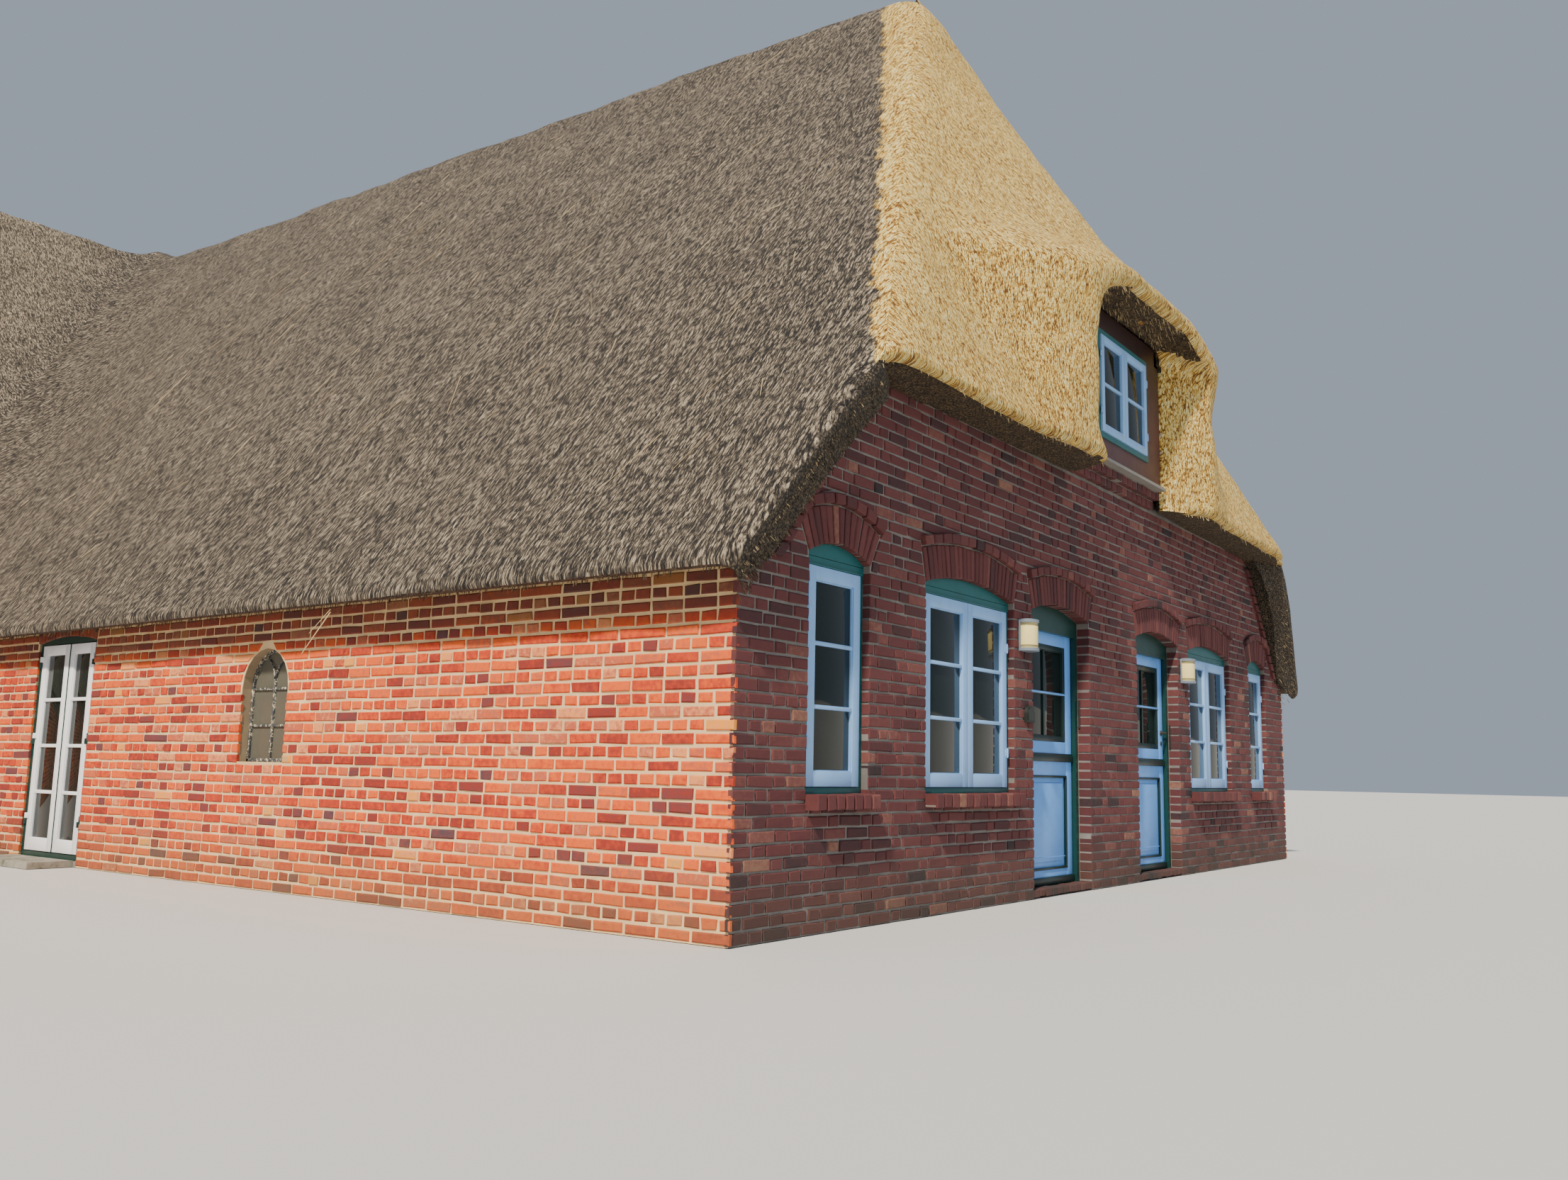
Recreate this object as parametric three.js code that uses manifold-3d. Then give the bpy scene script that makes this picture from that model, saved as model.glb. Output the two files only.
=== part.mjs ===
// Thatched brick farmhouse with a half-hipped gable wing and a cross wing behind it.
// Units are millimetres. +X runs to the right along the gable front, +Y into the house, +Z up.
// The model is drawn from the middle of the gable front at ground level, and the whole
// group is then moved so that its origin is the centre of the footprint.
import * as THREE from 'three';
import { ConvexGeometry } from 'three/addons/geometries/ConvexGeometry.js';
import { mergeVertices } from 'three/addons/utils/BufferGeometryUtils.js';
import Module from 'manifold-3d';

const wasm = await Module();
wasm.setup();

// Brick shell
const WALL = 360;
const MAIN_HALF = 5110;
const WING_FRONT = 11150;
const WING_MIDDLE = 16400;
const WING_HALF = 5250;
const WING_LENGTH_HALF = 11500;
const WING_BACK = WING_MIDDLE + WING_HALF;
const GABLE_TOP = 3400;
const FLOOR_TOP = 45;
const CEILING_UNDER = 2120;
const CEILING_TOP = 2320;
const SEAM = 0.3;
const VALLEY_HEAD = 40;

// Roof, all of thatch of one thickness. The long ridge climbs towards the cross wing while
// its eaves stay level, so each long slope is bent once, from its eave at the gable to the
// crossing of the ridges.
const THATCH = 350;
const RIDGE_FRONT_Z = 8610;
const RIDGE_CROSS_Z = 9150;
const EAVE_X = 5440;
const EAVE_Z = 1850;
const EAVE_TILT = 0.25;
const WING_EAVE_RUN = 5580;
const HIP_EAVE_Z = 3270;
const HIP_OVERHANG = 400;
const HIP_RUN = 1850;
const VERGE_OVERHANG = 200;

// Segmental heads shared by the front windows and doors
const SPRING = 2100;
const RISE = 80;
const ARC_STEPS = 5;

// Front windows
const FRONT_SILL = 745;
const SINGLE_X = 4150;
const SINGLE_WIDTH = 640;
const DOUBLE_X = 2525;
const DOUBLE_WIDTH = 1275;
const FRAME_FACE = 50;
const FRAME_FRONT = 50;
const FRAME_BACK = 130;
const SASH_FRONT = 30;
const SASH_DEPTH = 45;
const SASH_STILE = 75;
const SASH_TOP = 2030;
const SASH_BOTTOM = 790;
const PANE = 10;
const STOP_LAP = 12;
const SILL_DROP = 75;
const SILL_PROUD = 80;

// Front doors, opening inwards on the sides next to the middle pier
const DOOR_X = 1055;
const DOOR_WIDTH = 1065;
const DOOR_FRAME_FRONT = 100;
const DOOR_STOP_DEPTH = 30;
const DOOR_FRAME_BACK = 190;
const DOOR_SILL = 50;
const LEAF_THICK = 45;
const LEAF_GAP = 8;
const LEAF_BOTTOM = 57;
const LEAF_TOP = 1992;
const DOOR_LIGHT = [1140, 1890];
const DOOR_PANEL = [190, 895];
const DOOR_STILE = 105;
const HANDLE_Z = 1290;

// Lift-off hinges: the leaf's barrel stands on the frame's barrel
const BARREL = 9;
const BARREL_LENGTH = 45;
const BARREL_OUT = 10;
const FLAP_REACH = 34;
const FLAP = 8;
const DOOR_HINGES = [280, 1080, 1760];
const GARDEN_HINGES = [310, 980, 1630];

// Garden door in the left wall, two leaves opening outwards
const GARDEN_Y = [6650, 7660];
const GARDEN_SPRING = 1835;
const GARDEN_RISE = 50;
const GARDEN_FACE = 45;
const GARDEN_SET_BACK = 15;
const GARDEN_LEAF = [95, 1815];
const GARDEN_STILE = 80;
const GARDEN_MEETING_Y = 7130;
const GARDEN_MEETING = 10;
const STEP_PROUD = 350;
const STEP_TOP = 50;

// Small arched iron window in the side walls
const IRON_Y = [3910, 4470];
const IRON_SILL = 865;
const IRON_TOP = 1660;
const IRON_SET_BACK = 70;
const IRON_RING = 28;

// Low windows of the sides that the front view does not reach
const LOW_SILL = 750;
const LOW_HEAD = 1700;
const LOW_RISE = 60;
const LOW_WIDTH = 1100;
const SHEET = 8;

// Dormer in the front hip
const DORMER_HALF = 900;
const DORMER_FRONT = -120;
const DORMER_WALL = 60;
const DORMER_BASE = 3465;
const DORMER_TOP = 4745;
const DORMER_LIGHT = [3640, 4560];
const DORMER_LIGHT_HALF = 565;
const CORBELS = [[3290, 3365, 45], [3365, 3440, 95]];

// The front hip swells into a hood over the dormer. Each row has a height, how far the
// surface stands out there from the plane of the hip, the half width that stands out fully,
// and the half width where the swelling has died away.
const SWELL = [
  [3270, 50, 1450, 2300], [3600, 190, 1400, 2400], [4000, 350, 1300, 2700], [4200, 415, 1250, 2800],
  [4420, 530, 1300, 2900], [4700, 695, 1350, 2900], [4930, 810, 700, 2800], [5080, 700, 300, 2700],
  [5300, 600, 50, 2600], [5560, 490, 0, 2400], [5890, 420, 0, 2200], [6200, 350, 0, 2000],
  [6500, 280, 0, 1800], [6800, 210, 0, 1500], [7100, 150, 0, 1200], [7400, 70, 0, 900],
  [7700, 0, 0, 700], [9000, 0, 0, 700],
];
const SWELL_COLUMNS = [0, 350, 700, 1000, 1200, 1350, 1600, 1950, 2300, 2700, 3100, 4700];

// Edge of the opening under the hood, where it leaves the surface, in X and Z. The lower
// left corner of the thatch hangs in front of the end of the sill.
const MOUTH_Y = -500;
const FLARE_Y = -850;
const MOUTH = [
  [1500, 3200], [1480, 4100], [1400, 4360], [1260, 4540], [1040, 4660], [690, 4760], [300, 4830],
  [-300, 4830], [-690, 4760], [-1000, 4660], [-1170, 4540], [-1290, 4360], [-1370, 4100],
  [-1370, 3800], [-1220, 3560], [-850, 3270], [-830, 3200],
];
const THROAT = [
  [DORMER_HALF + 5, 3200], [DORMER_HALF + 5, 4600], [810, DORMER_TOP + 10],
  [-810, DORMER_TOP + 10], [-DORMER_HALF - 5, 4600], [-DORMER_HALF - 5, 3200],
];

const colours = {
  frontBrick: 0x6d332c,
  sideBrick: 0xb4563a,
  oldReed: 0x6b5d50,
  newReed: 0xc9a05a,
  green: 0x1f5a50,
  white: 0xc4d2de,
  boards: 0x5b2a26,
  iron: 0x4c4f50,
  stone: 0x8c8878,
  timber: 0x8a6f4e,
  glass: 0x9fb4bd,
  lamp: 0xd9cfa0,
};

const house = new THREE.Group();

function addPiece(name, geometry, colour, roughness = 0.8, metalness = 0) {
  const material = new THREE.MeshStandardMaterial({ color: colour, roughness, metalness });
  const mesh = new THREE.Mesh(geometry, material);
  mesh.name = name;
  house.add(mesh);
  return mesh;
}

// Solids: a closed geometry becomes a solid to cut and join, and comes back as a geometry.

function solid(geometry) {
  const bare = geometry.clone();
  bare.deleteAttribute('normal');
  bare.deleteAttribute('uv');
  const merged = mergeVertices(bare, 1e-3);
  const mesh = new wasm.Mesh({
    numProp: 3,
    vertProperties: new Float32Array(merged.attributes.position.array),
    triVerts: new Uint32Array(merged.index.array),
  });
  return new wasm.Manifold(mesh);
}

function geometryOf(body) {
  const mesh = body.getMesh();
  const geometry = new THREE.BufferGeometry();
  geometry.setAttribute('position', new THREE.BufferAttribute(mesh.vertProperties, 3));
  geometry.setIndex(new THREE.BufferAttribute(mesh.triVerts, 1));
  return geometry;
}

function box(x, y, z) {
  const geometry = new THREE.BoxGeometry(x[1] - x[0], y[1] - y[0], z[1] - z[0]);
  return geometry.translate((x[0] + x[1]) / 2, (y[0] + y[1]) / 2, (z[0] + z[1]) / 2);
}

// An outline in X and Z, given depth along Y.
function extrudeFront(shape, y) {
  const geometry = new THREE.ExtrudeGeometry(shape, {
    depth: y[1] - y[0],
    bevelEnabled: false,
    curveSegments: ARC_STEPS,
  });
  return geometry.rotateX(Math.PI / 2).translate(0, y[1], 0);
}

// An outline in Y and Z, given depth along X.
function extrudeSide(shape, x) {
  const geometry = new THREE.ExtrudeGeometry(shape, {
    depth: x[1] - x[0],
    bevelEnabled: false,
    curveSegments: ARC_STEPS,
  });
  const turn = new THREE.Matrix4().makeBasis(
    new THREE.Vector3(0, 1, 0),
    new THREE.Vector3(0, 0, 1),
    new THREE.Vector3(1, 0, 0),
  );
  return geometry.applyMatrix4(turn).translate(x[0], 0, 0);
}

// The arc of a segmental head from one springing point to the other.
function headArc(path, from, to, spring, rise) {
  const half = Math.abs(to - from) / 2;
  const radius = (half * half + rise * rise) / (2 * rise);
  const angle = Math.asin(half / radius);
  const middle = (from + to) / 2;
  const start = from < to ? Math.PI / 2 + angle : Math.PI / 2 - angle;
  const end = from < to ? Math.PI / 2 - angle : Math.PI / 2 + angle;
  path.absarc(middle, spring + rise - radius, radius, start, end, from < to);
}

function archedShape(left, right, bottom, spring, rise) {
  const shape = new THREE.Shape();
  shape.moveTo(left, bottom);
  shape.lineTo(right, bottom);
  shape.lineTo(right, spring);
  headArc(shape, right, left, spring, rise);
  shape.closePath();
  return shape;
}

// Roof planes: a plane is a unit normal pointing out of the thatch and its offset.

function planeThrough(a, b, c, outside) {
  const [p, q, r] = [a, b, c].map((v) => new THREE.Vector3(...v));
  const normal = q.clone().sub(p).cross(r.clone().sub(p)).normalize();
  if (normal.dot(new THREE.Vector3(...outside).sub(p)) < 0) normal.negate();
  return { normal, offset: normal.dot(p) };
}

function lowered(plane, depth) {
  return { normal: plane.normal, offset: plane.offset - depth };
}

function facing(x, y, z, offset) {
  return { normal: new THREE.Vector3(x, y, z), offset };
}

function reversed(plane) {
  return { normal: plane.normal.clone().negate(), offset: -plane.offset };
}

// The side of a mitre where the first plane is the nearer one to the surface.
function mitre(own, other) {
  const normal = other.normal.clone().sub(own.normal);
  const length = normal.length();
  return { normal: normal.divideScalar(length), offset: (other.offset - own.offset) / length - SEAM };
}

// The convex solid inside a set of planes, from the corners where three planes meet.
function insidePlanes(planes) {
  const corners = [];
  const keep = (p) => planes.every((plane) => plane.normal.dot(p) <= plane.offset + 0.01);
  const isNew = (p) => corners.every((corner) => corner.distanceTo(p) > 0.5);
  for (let i = 0; i < planes.length; i += 1) {
    for (let j = i + 1; j < planes.length; j += 1) {
      for (let k = j + 1; k < planes.length; k += 1) {
        const m = new THREE.Matrix3().set(
          ...planes[i].normal.toArray(),
          ...planes[j].normal.toArray(),
          ...planes[k].normal.toArray(),
        );
        if (Math.abs(m.determinant()) > 1e-6) {
          const offsets = new THREE.Vector3(planes[i].offset, planes[j].offset, planes[k].offset);
          const p = offsets.applyMatrix3(m.invert());
          if (keep(p) && isNew(p)) corners.push(p);
        }
      }
    }
  }
  return solid(new ConvexGeometry(corners));
}

const crossRidge = [0, WING_MIDDLE, RIDGE_CROSS_Z];
const ridgeRise = (RIDGE_CROSS_Z - RIDGE_FRONT_Z) / WING_MIDDLE;
const nearPitch = (RIDGE_FRONT_Z - EAVE_Z) / EAVE_X;
const wingPitch = (RIDGE_CROSS_Z - EAVE_Z) / WING_EAVE_RUN;
const hipApexZ = RIDGE_FRONT_Z + ridgeRise * HIP_RUN;
const hipCornerX = (RIDGE_FRONT_Z - ridgeRise * HIP_OVERHANG - HIP_EAVE_Z) / nearPitch;
const wingCornerRun = (RIDGE_CROSS_Z - HIP_EAVE_Z) / wingPitch;
const high = [0, WING_MIDDLE, 30000];
const low = [0, WING_MIDDLE, -30000];

function mainSlope(side) {
  const foot = [side * EAVE_X, 0, EAVE_Z];
  const along = [side * EAVE_X, 10000, EAVE_Z];
  const eaveIn = [side * (EAVE_X - 1000), 0, EAVE_Z + 1000 * EAVE_TILT];
  return {
    near: planeThrough([0, 0, RIDGE_FRONT_Z], crossRidge, foot, high),
    far: planeThrough(crossRidge, foot, along, high),
    eave: planeThrough(foot, along, eaveIn, low),
  };
}

function wingSlope(way) {
  const footY = WING_MIDDLE + way * WING_EAVE_RUN;
  const foot = [0, footY, EAVE_Z];
  const along = [10000, footY, EAVE_Z];
  const eaveIn = [0, footY - way * 1000, EAVE_Z + 1000 * EAVE_TILT];
  return {
    near: planeThrough(crossRidge, [1000, WING_MIDDLE, RIDGE_CROSS_Z], foot, high),
    eave: planeThrough(foot, along, eaveIn, low),
  };
}

function wingHip(side) {
  const eaveX = side * (WING_LENGTH_HALF + HIP_OVERHANG);
  return planeThrough(
    [eaveX, WING_MIDDLE - wingCornerRun, HIP_EAVE_Z],
    [eaveX, WING_MIDDLE + wingCornerRun, HIP_EAVE_Z],
    [side * (WING_LENGTH_HALF - HIP_RUN), WING_MIDDLE, RIDGE_CROSS_Z],
    [eaveX, WING_MIDDLE, 30000],
  );
}

const left = mainSlope(-1);
const right = mainSlope(1);
const wingFront = wingSlope(-1);
const wingBack = wingSlope(1);
const wingHips = { left: wingHip(-1), right: wingHip(1) };
const frontHip = planeThrough(
  [-hipCornerX, -HIP_OVERHANG, HIP_EAVE_Z],
  [hipCornerX, -HIP_OVERHANG, HIP_EAVE_Z],
  [0, HIP_RUN, hipApexZ],
  [0, -HIP_OVERHANG, 30000],
);

// The vertical plane of a verge, from its foot out to the corner of the hip's eave.
function vergePlane(foot, corner, inside) {
  const above = [foot[0], foot[1], foot[2] + 1000];
  return reversed(planeThrough(foot, corner, above, inside));
}

function wingVerge(side, way) {
  return vergePlane(
    [side * (WING_LENGTH_HALF + VERGE_OVERHANG), WING_MIDDLE + way * WING_EAVE_RUN, EAVE_Z],
    [side * (WING_LENGTH_HALF + HIP_OVERHANG), WING_MIDDLE + way * wingCornerRun, HIP_EAVE_Z],
    [0, WING_MIDDLE, EAVE_Z],
  );
}

const beyond = [
  facing(1, 0, 0, 20000), facing(-1, 0, 0, 20000), facing(0, 1, 0, 30000),
  facing(0, -1, 0, 5000), facing(0, 0, 1, 20000),
];

// One long slope: the space under its upper surface less the space under its lower one. It
// runs out to its verges, and above the hip's eave the corner past the mitre is taken off.
function longSlope(surface, hips, cuts) {
  const under = surface.map((plane) => lowered(plane, THATCH));
  let body = insidePlanes([...surface, ...cuts]);
  body = body.subtract(insidePlanes([...under, facing(0, 0, -1, 1000), ...beyond]));
  for (const hip of hips) {
    const aboveEave = facing(0, 0, -1, -(HIP_EAVE_Z - SEAM));
    body = body.subtract(insidePlanes([reversed(mitre(surface[0], hip)), aboveEave, ...beyond]));
  }
  return body;
}

const valleys = { left: mitre(left.far, wingFront.near), right: mitre(right.far, wingFront.near) };

for (const [name, side, own, valley] of [
  ['thatch_left', -1, left, valleys.left],
  ['thatch_right', 1, right, valleys.right],
]) {
  const verge = vergePlane(
    [side * EAVE_X, -VERGE_OVERHANG, EAVE_Z],
    [side * hipCornerX, -HIP_OVERHANG, HIP_EAVE_Z],
    [side * EAVE_X, 5000, EAVE_Z],
  );
  const atRidge = facing(-side, 0, 0, -SEAM / 2);
  const intoValley = lowered(reversed(valley), 2 * SEAM);
  const body = longSlope([own.near, own.far], [frontHip], [own.eave, verge, atRidge, intoValley]);
  addPiece(name, geometryOf(body), colours.oldReed, 0.95);
}

const wingRidge = {
  front: facing(0, 1, 0, WING_MIDDLE - SEAM / 2),
  back: facing(0, -1, 0, -WING_MIDDLE - SEAM / 2),
};

for (const [name, side, hip, valley] of [
  ['thatch_wing_front_left', -1, wingHips.left, valleys.left],
  ['thatch_wing_front_right', 1, wingHips.right, valleys.right],
]) {
  const ends = [wingVerge(side, -1), facing(-side, 0, 0, -VALLEY_HEAD)];
  const cuts = [wingFront.eave, wingRidge.front, valley, ...ends];
  const body = longSlope([wingFront.near], [hip], cuts);
  addPiece(name, geometryOf(body), colours.oldReed, 0.95);
}

const backEnds = [wingVerge(-1, 1), wingVerge(1, 1)];
const backCuts = [wingBack.eave, wingRidge.back, ...backEnds];
const backSlope = longSlope([wingBack.near], [wingHips.left, wingHips.right], backCuts);
addPiece('thatch_wing_back', geometryOf(backSlope), colours.oldReed, 0.95);

// A hip is mitred to the slopes beside it and cut off level at its own eave.
function hipCuts(own, neighbours) {
  return [facing(0, 0, -1, -HIP_EAVE_Z), ...neighbours.map((neighbour) => mitre(own, neighbour))];
}

for (const [name, own] of [
  ['thatch_wing_hip_left', wingHips.left],
  ['thatch_wing_hip_right', wingHips.right],
]) {
  const planes = [own, reversed(lowered(own, THATCH)), ...hipCuts(own, [wingFront.near, wingBack.near])];
  addPiece(name, geometryOf(insidePlanes(planes)), colours.newReed, 0.95);
}

// Front hip: a slab in rows and columns whose outer face is pushed out into the hood.

function planeY(plane, z) {
  return (plane.offset - plane.normal.z * z) / plane.normal.y;
}

function swellAt(x, row) {
  const [, push, full, none] = row;
  const t = Math.min(Math.max((Math.abs(x) - full) / (none - full), 0), 1);
  return push * (1 - t * t * (3 - 2 * t));
}

const columns = [...SWELL_COLUMNS.slice(1).map((x) => -x).reverse(), ...SWELL_COLUMNS];
const hipSlab = new THREE.BoxGeometry(1, 1, 1, columns.length - 1, 1, SWELL.length - 1);
const place = hipSlab.attributes.position;
for (let i = 0; i < place.count; i += 1) {
  const x = columns[Math.round((place.getX(i) + 0.5) * (columns.length - 1))];
  const row = SWELL[Math.round((place.getZ(i) + 0.5) * (SWELL.length - 1))];
  const outer = planeY(frontHip, row[0]) - swellAt(x, row);
  const inner = planeY(lowered(frontHip, THATCH), row[0]);
  place.setXYZ(i, x, place.getY(i) < 0 ? outer : inner, row[0]);
}

// The opening flares from the board wall of the dormer out to the mouth and past it.

function hull(points) {
  return solid(new ConvexGeometry(points.map((p) => new THREE.Vector3(...p))));
}

const throatY = DORMER_FRONT - 5;
const reach = (FLARE_Y - throatY) / (MOUTH_Y - throatY);
const flarePoints = MOUTH.map(([x, z]) => {
  const fromX = Math.sign(x) * Math.min(Math.abs(x), DORMER_HALF);
  const fromZ = Math.min(z, DORMER_TOP);
  return [fromX + (x - fromX) * reach, FLARE_Y, fromZ + (z - fromZ) * reach];
});
const throatPoints = THROAT.map(([x, z]) => [x, throatY, z]);
const flare = hull([...flarePoints, ...throatPoints]);
const throat = hull([...throatPoints, ...THROAT.map(([x, z]) => [x, 1600, z])]);
const hipLimits = [...hipCuts(frontHip, [left.near, right.near]), ...beyond];
const hipBody = solid(hipSlab).intersect(insidePlanes(hipLimits)).subtract(flare).subtract(throat);
addPiece('thatch_hip', geometryOf(hipBody), colours.newReed, 0.95);

// Space under the thatch: the walls are cut off along it, so that the roof rests on them.

const clear = THATCH + SEAM;
const shellLimits = [facing(0, 0, -1, 500), facing(0, 0, 1, 9000)];
const mainLimits = [facing(0, 1, 0, WING_MIDDLE), facing(0, -1, 0, 100), ...shellLimits];
const mainSurfaces = [left.near, left.far, right.near, right.far, frontHip];
const wingSurfaces = [wingFront.near, wingBack.near, wingHips.left, wingHips.right];
const wingEnds = [facing(1, 0, 0, WING_LENGTH_HALF + 100), facing(-1, 0, 0, WING_LENGTH_HALF + 100)];

function belowEave(slope) {
  return lowered(reversed(slope.eave), SEAM);
}

const mainEaves = [belowEave(left), belowEave(right)];
const wingEaves = [belowEave(wingFront), belowEave(wingBack), ...wingEnds];
const underThatch = [
  insidePlanes([...mainSurfaces.map((plane) => lowered(plane, clear)), ...mainLimits]),
  insidePlanes([...wingSurfaces.map((plane) => lowered(plane, clear)), ...shellLimits]),
  insidePlanes([...mainEaves, ...mainLimits, facing(0, 1, 0, WING_MIDDLE - WING_EAVE_RUN - SEAM)]),
  insidePlanes([...wingEaves, ...shellLimits, facing(1, 0, 0, -EAVE_X - SEAM)]),
  insidePlanes([...wingEaves, ...shellLimits, facing(-1, 0, 0, -EAVE_X - SEAM)]),
  insidePlanes([...mainEaves, ...wingEaves, ...shellLimits]),
  solid(box([-20000, 20000], [-5000, 30000], [-500, EAVE_Z - SEAM])),
].reduce((space, part) => space.add(part));

function addWall(name, geometry, colour, openings = []) {
  let body = solid(geometry).intersect(underThatch);
  for (const opening of openings) body = body.subtract(solid(opening));
  return addPiece(name, geometryOf(body), colour, 0.9);
}

// One half of a lift-off hinge: a barrel on the axis and a flap that reaches along one
// side of it. The other half stands over it, one seam higher.
function hingeHalf(x, y, z, flapX, flapY) {
  const barrel = new THREE.CylinderGeometry(BARREL, BARREL, BARREL_LENGTH, 12);
  barrel.rotateX(Math.PI / 2).translate(x, y, z + BARREL_LENGTH / 2);
  return solid(barrel).add(solid(box(flapX, flapY, [z, z + BARREL_LENGTH])));
}

// Front wall: two lower parts with their window notches, the pier between the doors, and
// the gable above the springing line with its six segmental heads and the corbels.

const windowSpans = [[SINGLE_X, SINGLE_WIDTH], [DOUBLE_X, DOUBLE_WIDTH]];
const doorSpan = [DOOR_X - DOOR_WIDTH / 2, DOOR_X + DOOR_WIDTH / 2];

function frontLower(side) {
  const sign = (x) => side * x;
  const xs = side < 0 ? [-MAIN_HALF, -doorSpan[1]] : [doorSpan[1], MAIN_HALF];
  let body = solid(box(xs, [0, WALL], [0, SPRING])).intersect(underThatch);
  for (const [x, width] of windowSpans) {
    const span = [sign(x) - width / 2, sign(x) + width / 2];
    body = body.subtract(solid(box(span, [-100, WALL + 100], [FRONT_SILL, SPRING + 100])));
    const sillBox = box(span, [-SILL_PROUD, 40], [FRONT_SILL - SILL_DROP, FRONT_SILL]);
    body = body.add(solid(sillBox));
  }
  return body;
}

addPiece('front_wall_left', geometryOf(frontLower(-1)), colours.frontBrick, 0.9);
addPiece('front_wall_right', geometryOf(frontLower(1)), colours.frontBrick, 0.9);
const pier = box([-doorSpan[0], doorSpan[0]], [0, WALL], [0, SPRING]);
addPiece('front_wall_pier', pier, colours.frontBrick, 0.9);

function gableShape() {
  const heads = [
    [-SINGLE_X, SINGLE_WIDTH], [-DOUBLE_X, DOUBLE_WIDTH], [-DOOR_X, DOOR_WIDTH],
    [DOOR_X, DOOR_WIDTH], [DOUBLE_X, DOUBLE_WIDTH], [SINGLE_X, SINGLE_WIDTH],
  ];
  const shape = new THREE.Shape();
  shape.moveTo(-MAIN_HALF, SPRING);
  for (const [x, width] of heads) {
    shape.lineTo(x - width / 2, SPRING);
    headArc(shape, x - width / 2, x + width / 2, SPRING, RISE);
  }
  shape.lineTo(MAIN_HALF, SPRING);
  shape.lineTo(MAIN_HALF, GABLE_TOP);
  shape.lineTo(-MAIN_HALF, GABLE_TOP);
  shape.closePath();
  return shape;
}

let gable = solid(extrudeFront(gableShape(), [0, WALL])).intersect(underThatch);
gable = gable.add(solid(box([-DORMER_HALF, DORMER_HALF], [0, WALL], [GABLE_TOP - 20, CORBELS[1][1]])));
for (const [bottom, top, proud] of CORBELS) {
  gable = gable.add(solid(box([-DORMER_HALF, DORMER_HALF], [-proud, 20], [bottom, top])));
}
addPiece('front_gable', geometryOf(gable), colours.frontBrick, 0.9);

// Side walls of the main wing. The left one is split beside and over the garden door.

const leftFace = [-MAIN_HALF, -MAIN_HALF + WALL];
const rightFace = [MAIN_HALF - WALL, MAIN_HALF];
const ironRadius = (IRON_Y[1] - IRON_Y[0]) / 2;
const ironSpring = IRON_TOP - ironRadius;

function ironHole(x) {
  const shape = archedShape(IRON_Y[0], IRON_Y[1], IRON_SILL, ironSpring, ironRadius);
  return extrudeSide(shape, [x[0] - 100, x[1] + 100]);
}

const sideTop = 3000;
const leftFront = box(leftFace, [WALL, GARDEN_Y[0]], [0, sideTop]);
const leftRear = box(leftFace, [GARDEN_Y[1], WING_FRONT], [0, sideTop]);
addWall('left_wall_front', leftFront, colours.sideBrick, [ironHole(leftFace)]);
addWall('left_wall_rear', leftRear, colours.sideBrick);
const gardenHead = new THREE.Shape();
gardenHead.moveTo(GARDEN_Y[0], GARDEN_SPRING);
headArc(gardenHead, GARDEN_Y[0], GARDEN_Y[1], GARDEN_SPRING, GARDEN_RISE);
gardenHead.lineTo(GARDEN_Y[1], sideTop);
gardenHead.lineTo(GARDEN_Y[0], sideTop);
gardenHead.closePath();
addWall('left_wall_head', extrudeSide(gardenHead, leftFace), colours.sideBrick);

function lowWindow(middle) {
  const half = LOW_WIDTH / 2;
  return archedShape(middle - half, middle + half, LOW_SILL, LOW_HEAD - LOW_RISE, LOW_RISE);
}

function sideHole(middle, x) {
  return extrudeSide(lowWindow(middle), [x[0] - 100, x[1] + 100]);
}

function frontHole(middle, y) {
  return extrudeFront(lowWindow(middle), [y[0] - 100, y[1] + 100]);
}

const rightWindows = [ironHole(rightFace), sideHole((GARDEN_Y[0] + GARDEN_Y[1]) / 2, rightFace)];
addWall('right_wall', box(rightFace, [WALL, WING_FRONT], [0, sideTop]), colours.sideBrick, rightWindows);

// Walls of the cross wing, with low windows at an even spacing.

const wingFrontY = [WING_FRONT, WING_FRONT + WALL];
const wingBackY = [WING_BACK - WALL, WING_BACK];
const backWindows = [-8250, -2750, 2750, 8250];
const endWindows = [-2150, 2150];
for (const [name, side] of [['wing_front_wall_left', -1], ['wing_front_wall_right', 1]]) {
  const inner = MAIN_HALF - WALL;
  const xs = side < 0 ? [-WING_LENGTH_HALF, -inner] : [inner, WING_LENGTH_HALF];
  addWall(name, box(xs, wingFrontY, [0, sideTop]), colours.sideBrick);
}
const backHoles = backWindows.map((x) => frontHole(x, wingBackY));
const backBox = box([-WING_LENGTH_HALF, WING_LENGTH_HALF], wingBackY, [0, sideTop]);
addWall('back_wall', backBox, colours.sideBrick, backHoles);
for (const [name, side] of [['wing_end_wall_left', -1], ['wing_end_wall_right', 1]]) {
  const outer = side * WING_LENGTH_HALF;
  const xs = side < 0 ? [outer, outer + WALL] : [outer - WALL, outer];
  const holes = endWindows.map((y) => sideHole(WING_MIDDLE + y, xs));
  const ys = [WING_FRONT + WALL, WING_BACK - WALL];
  addWall(name, box(xs, ys, [0, GABLE_TOP]), colours.sideBrick, holes);
}

// Glass sheets against the inner faces of the walls that the front view does not reach.

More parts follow.
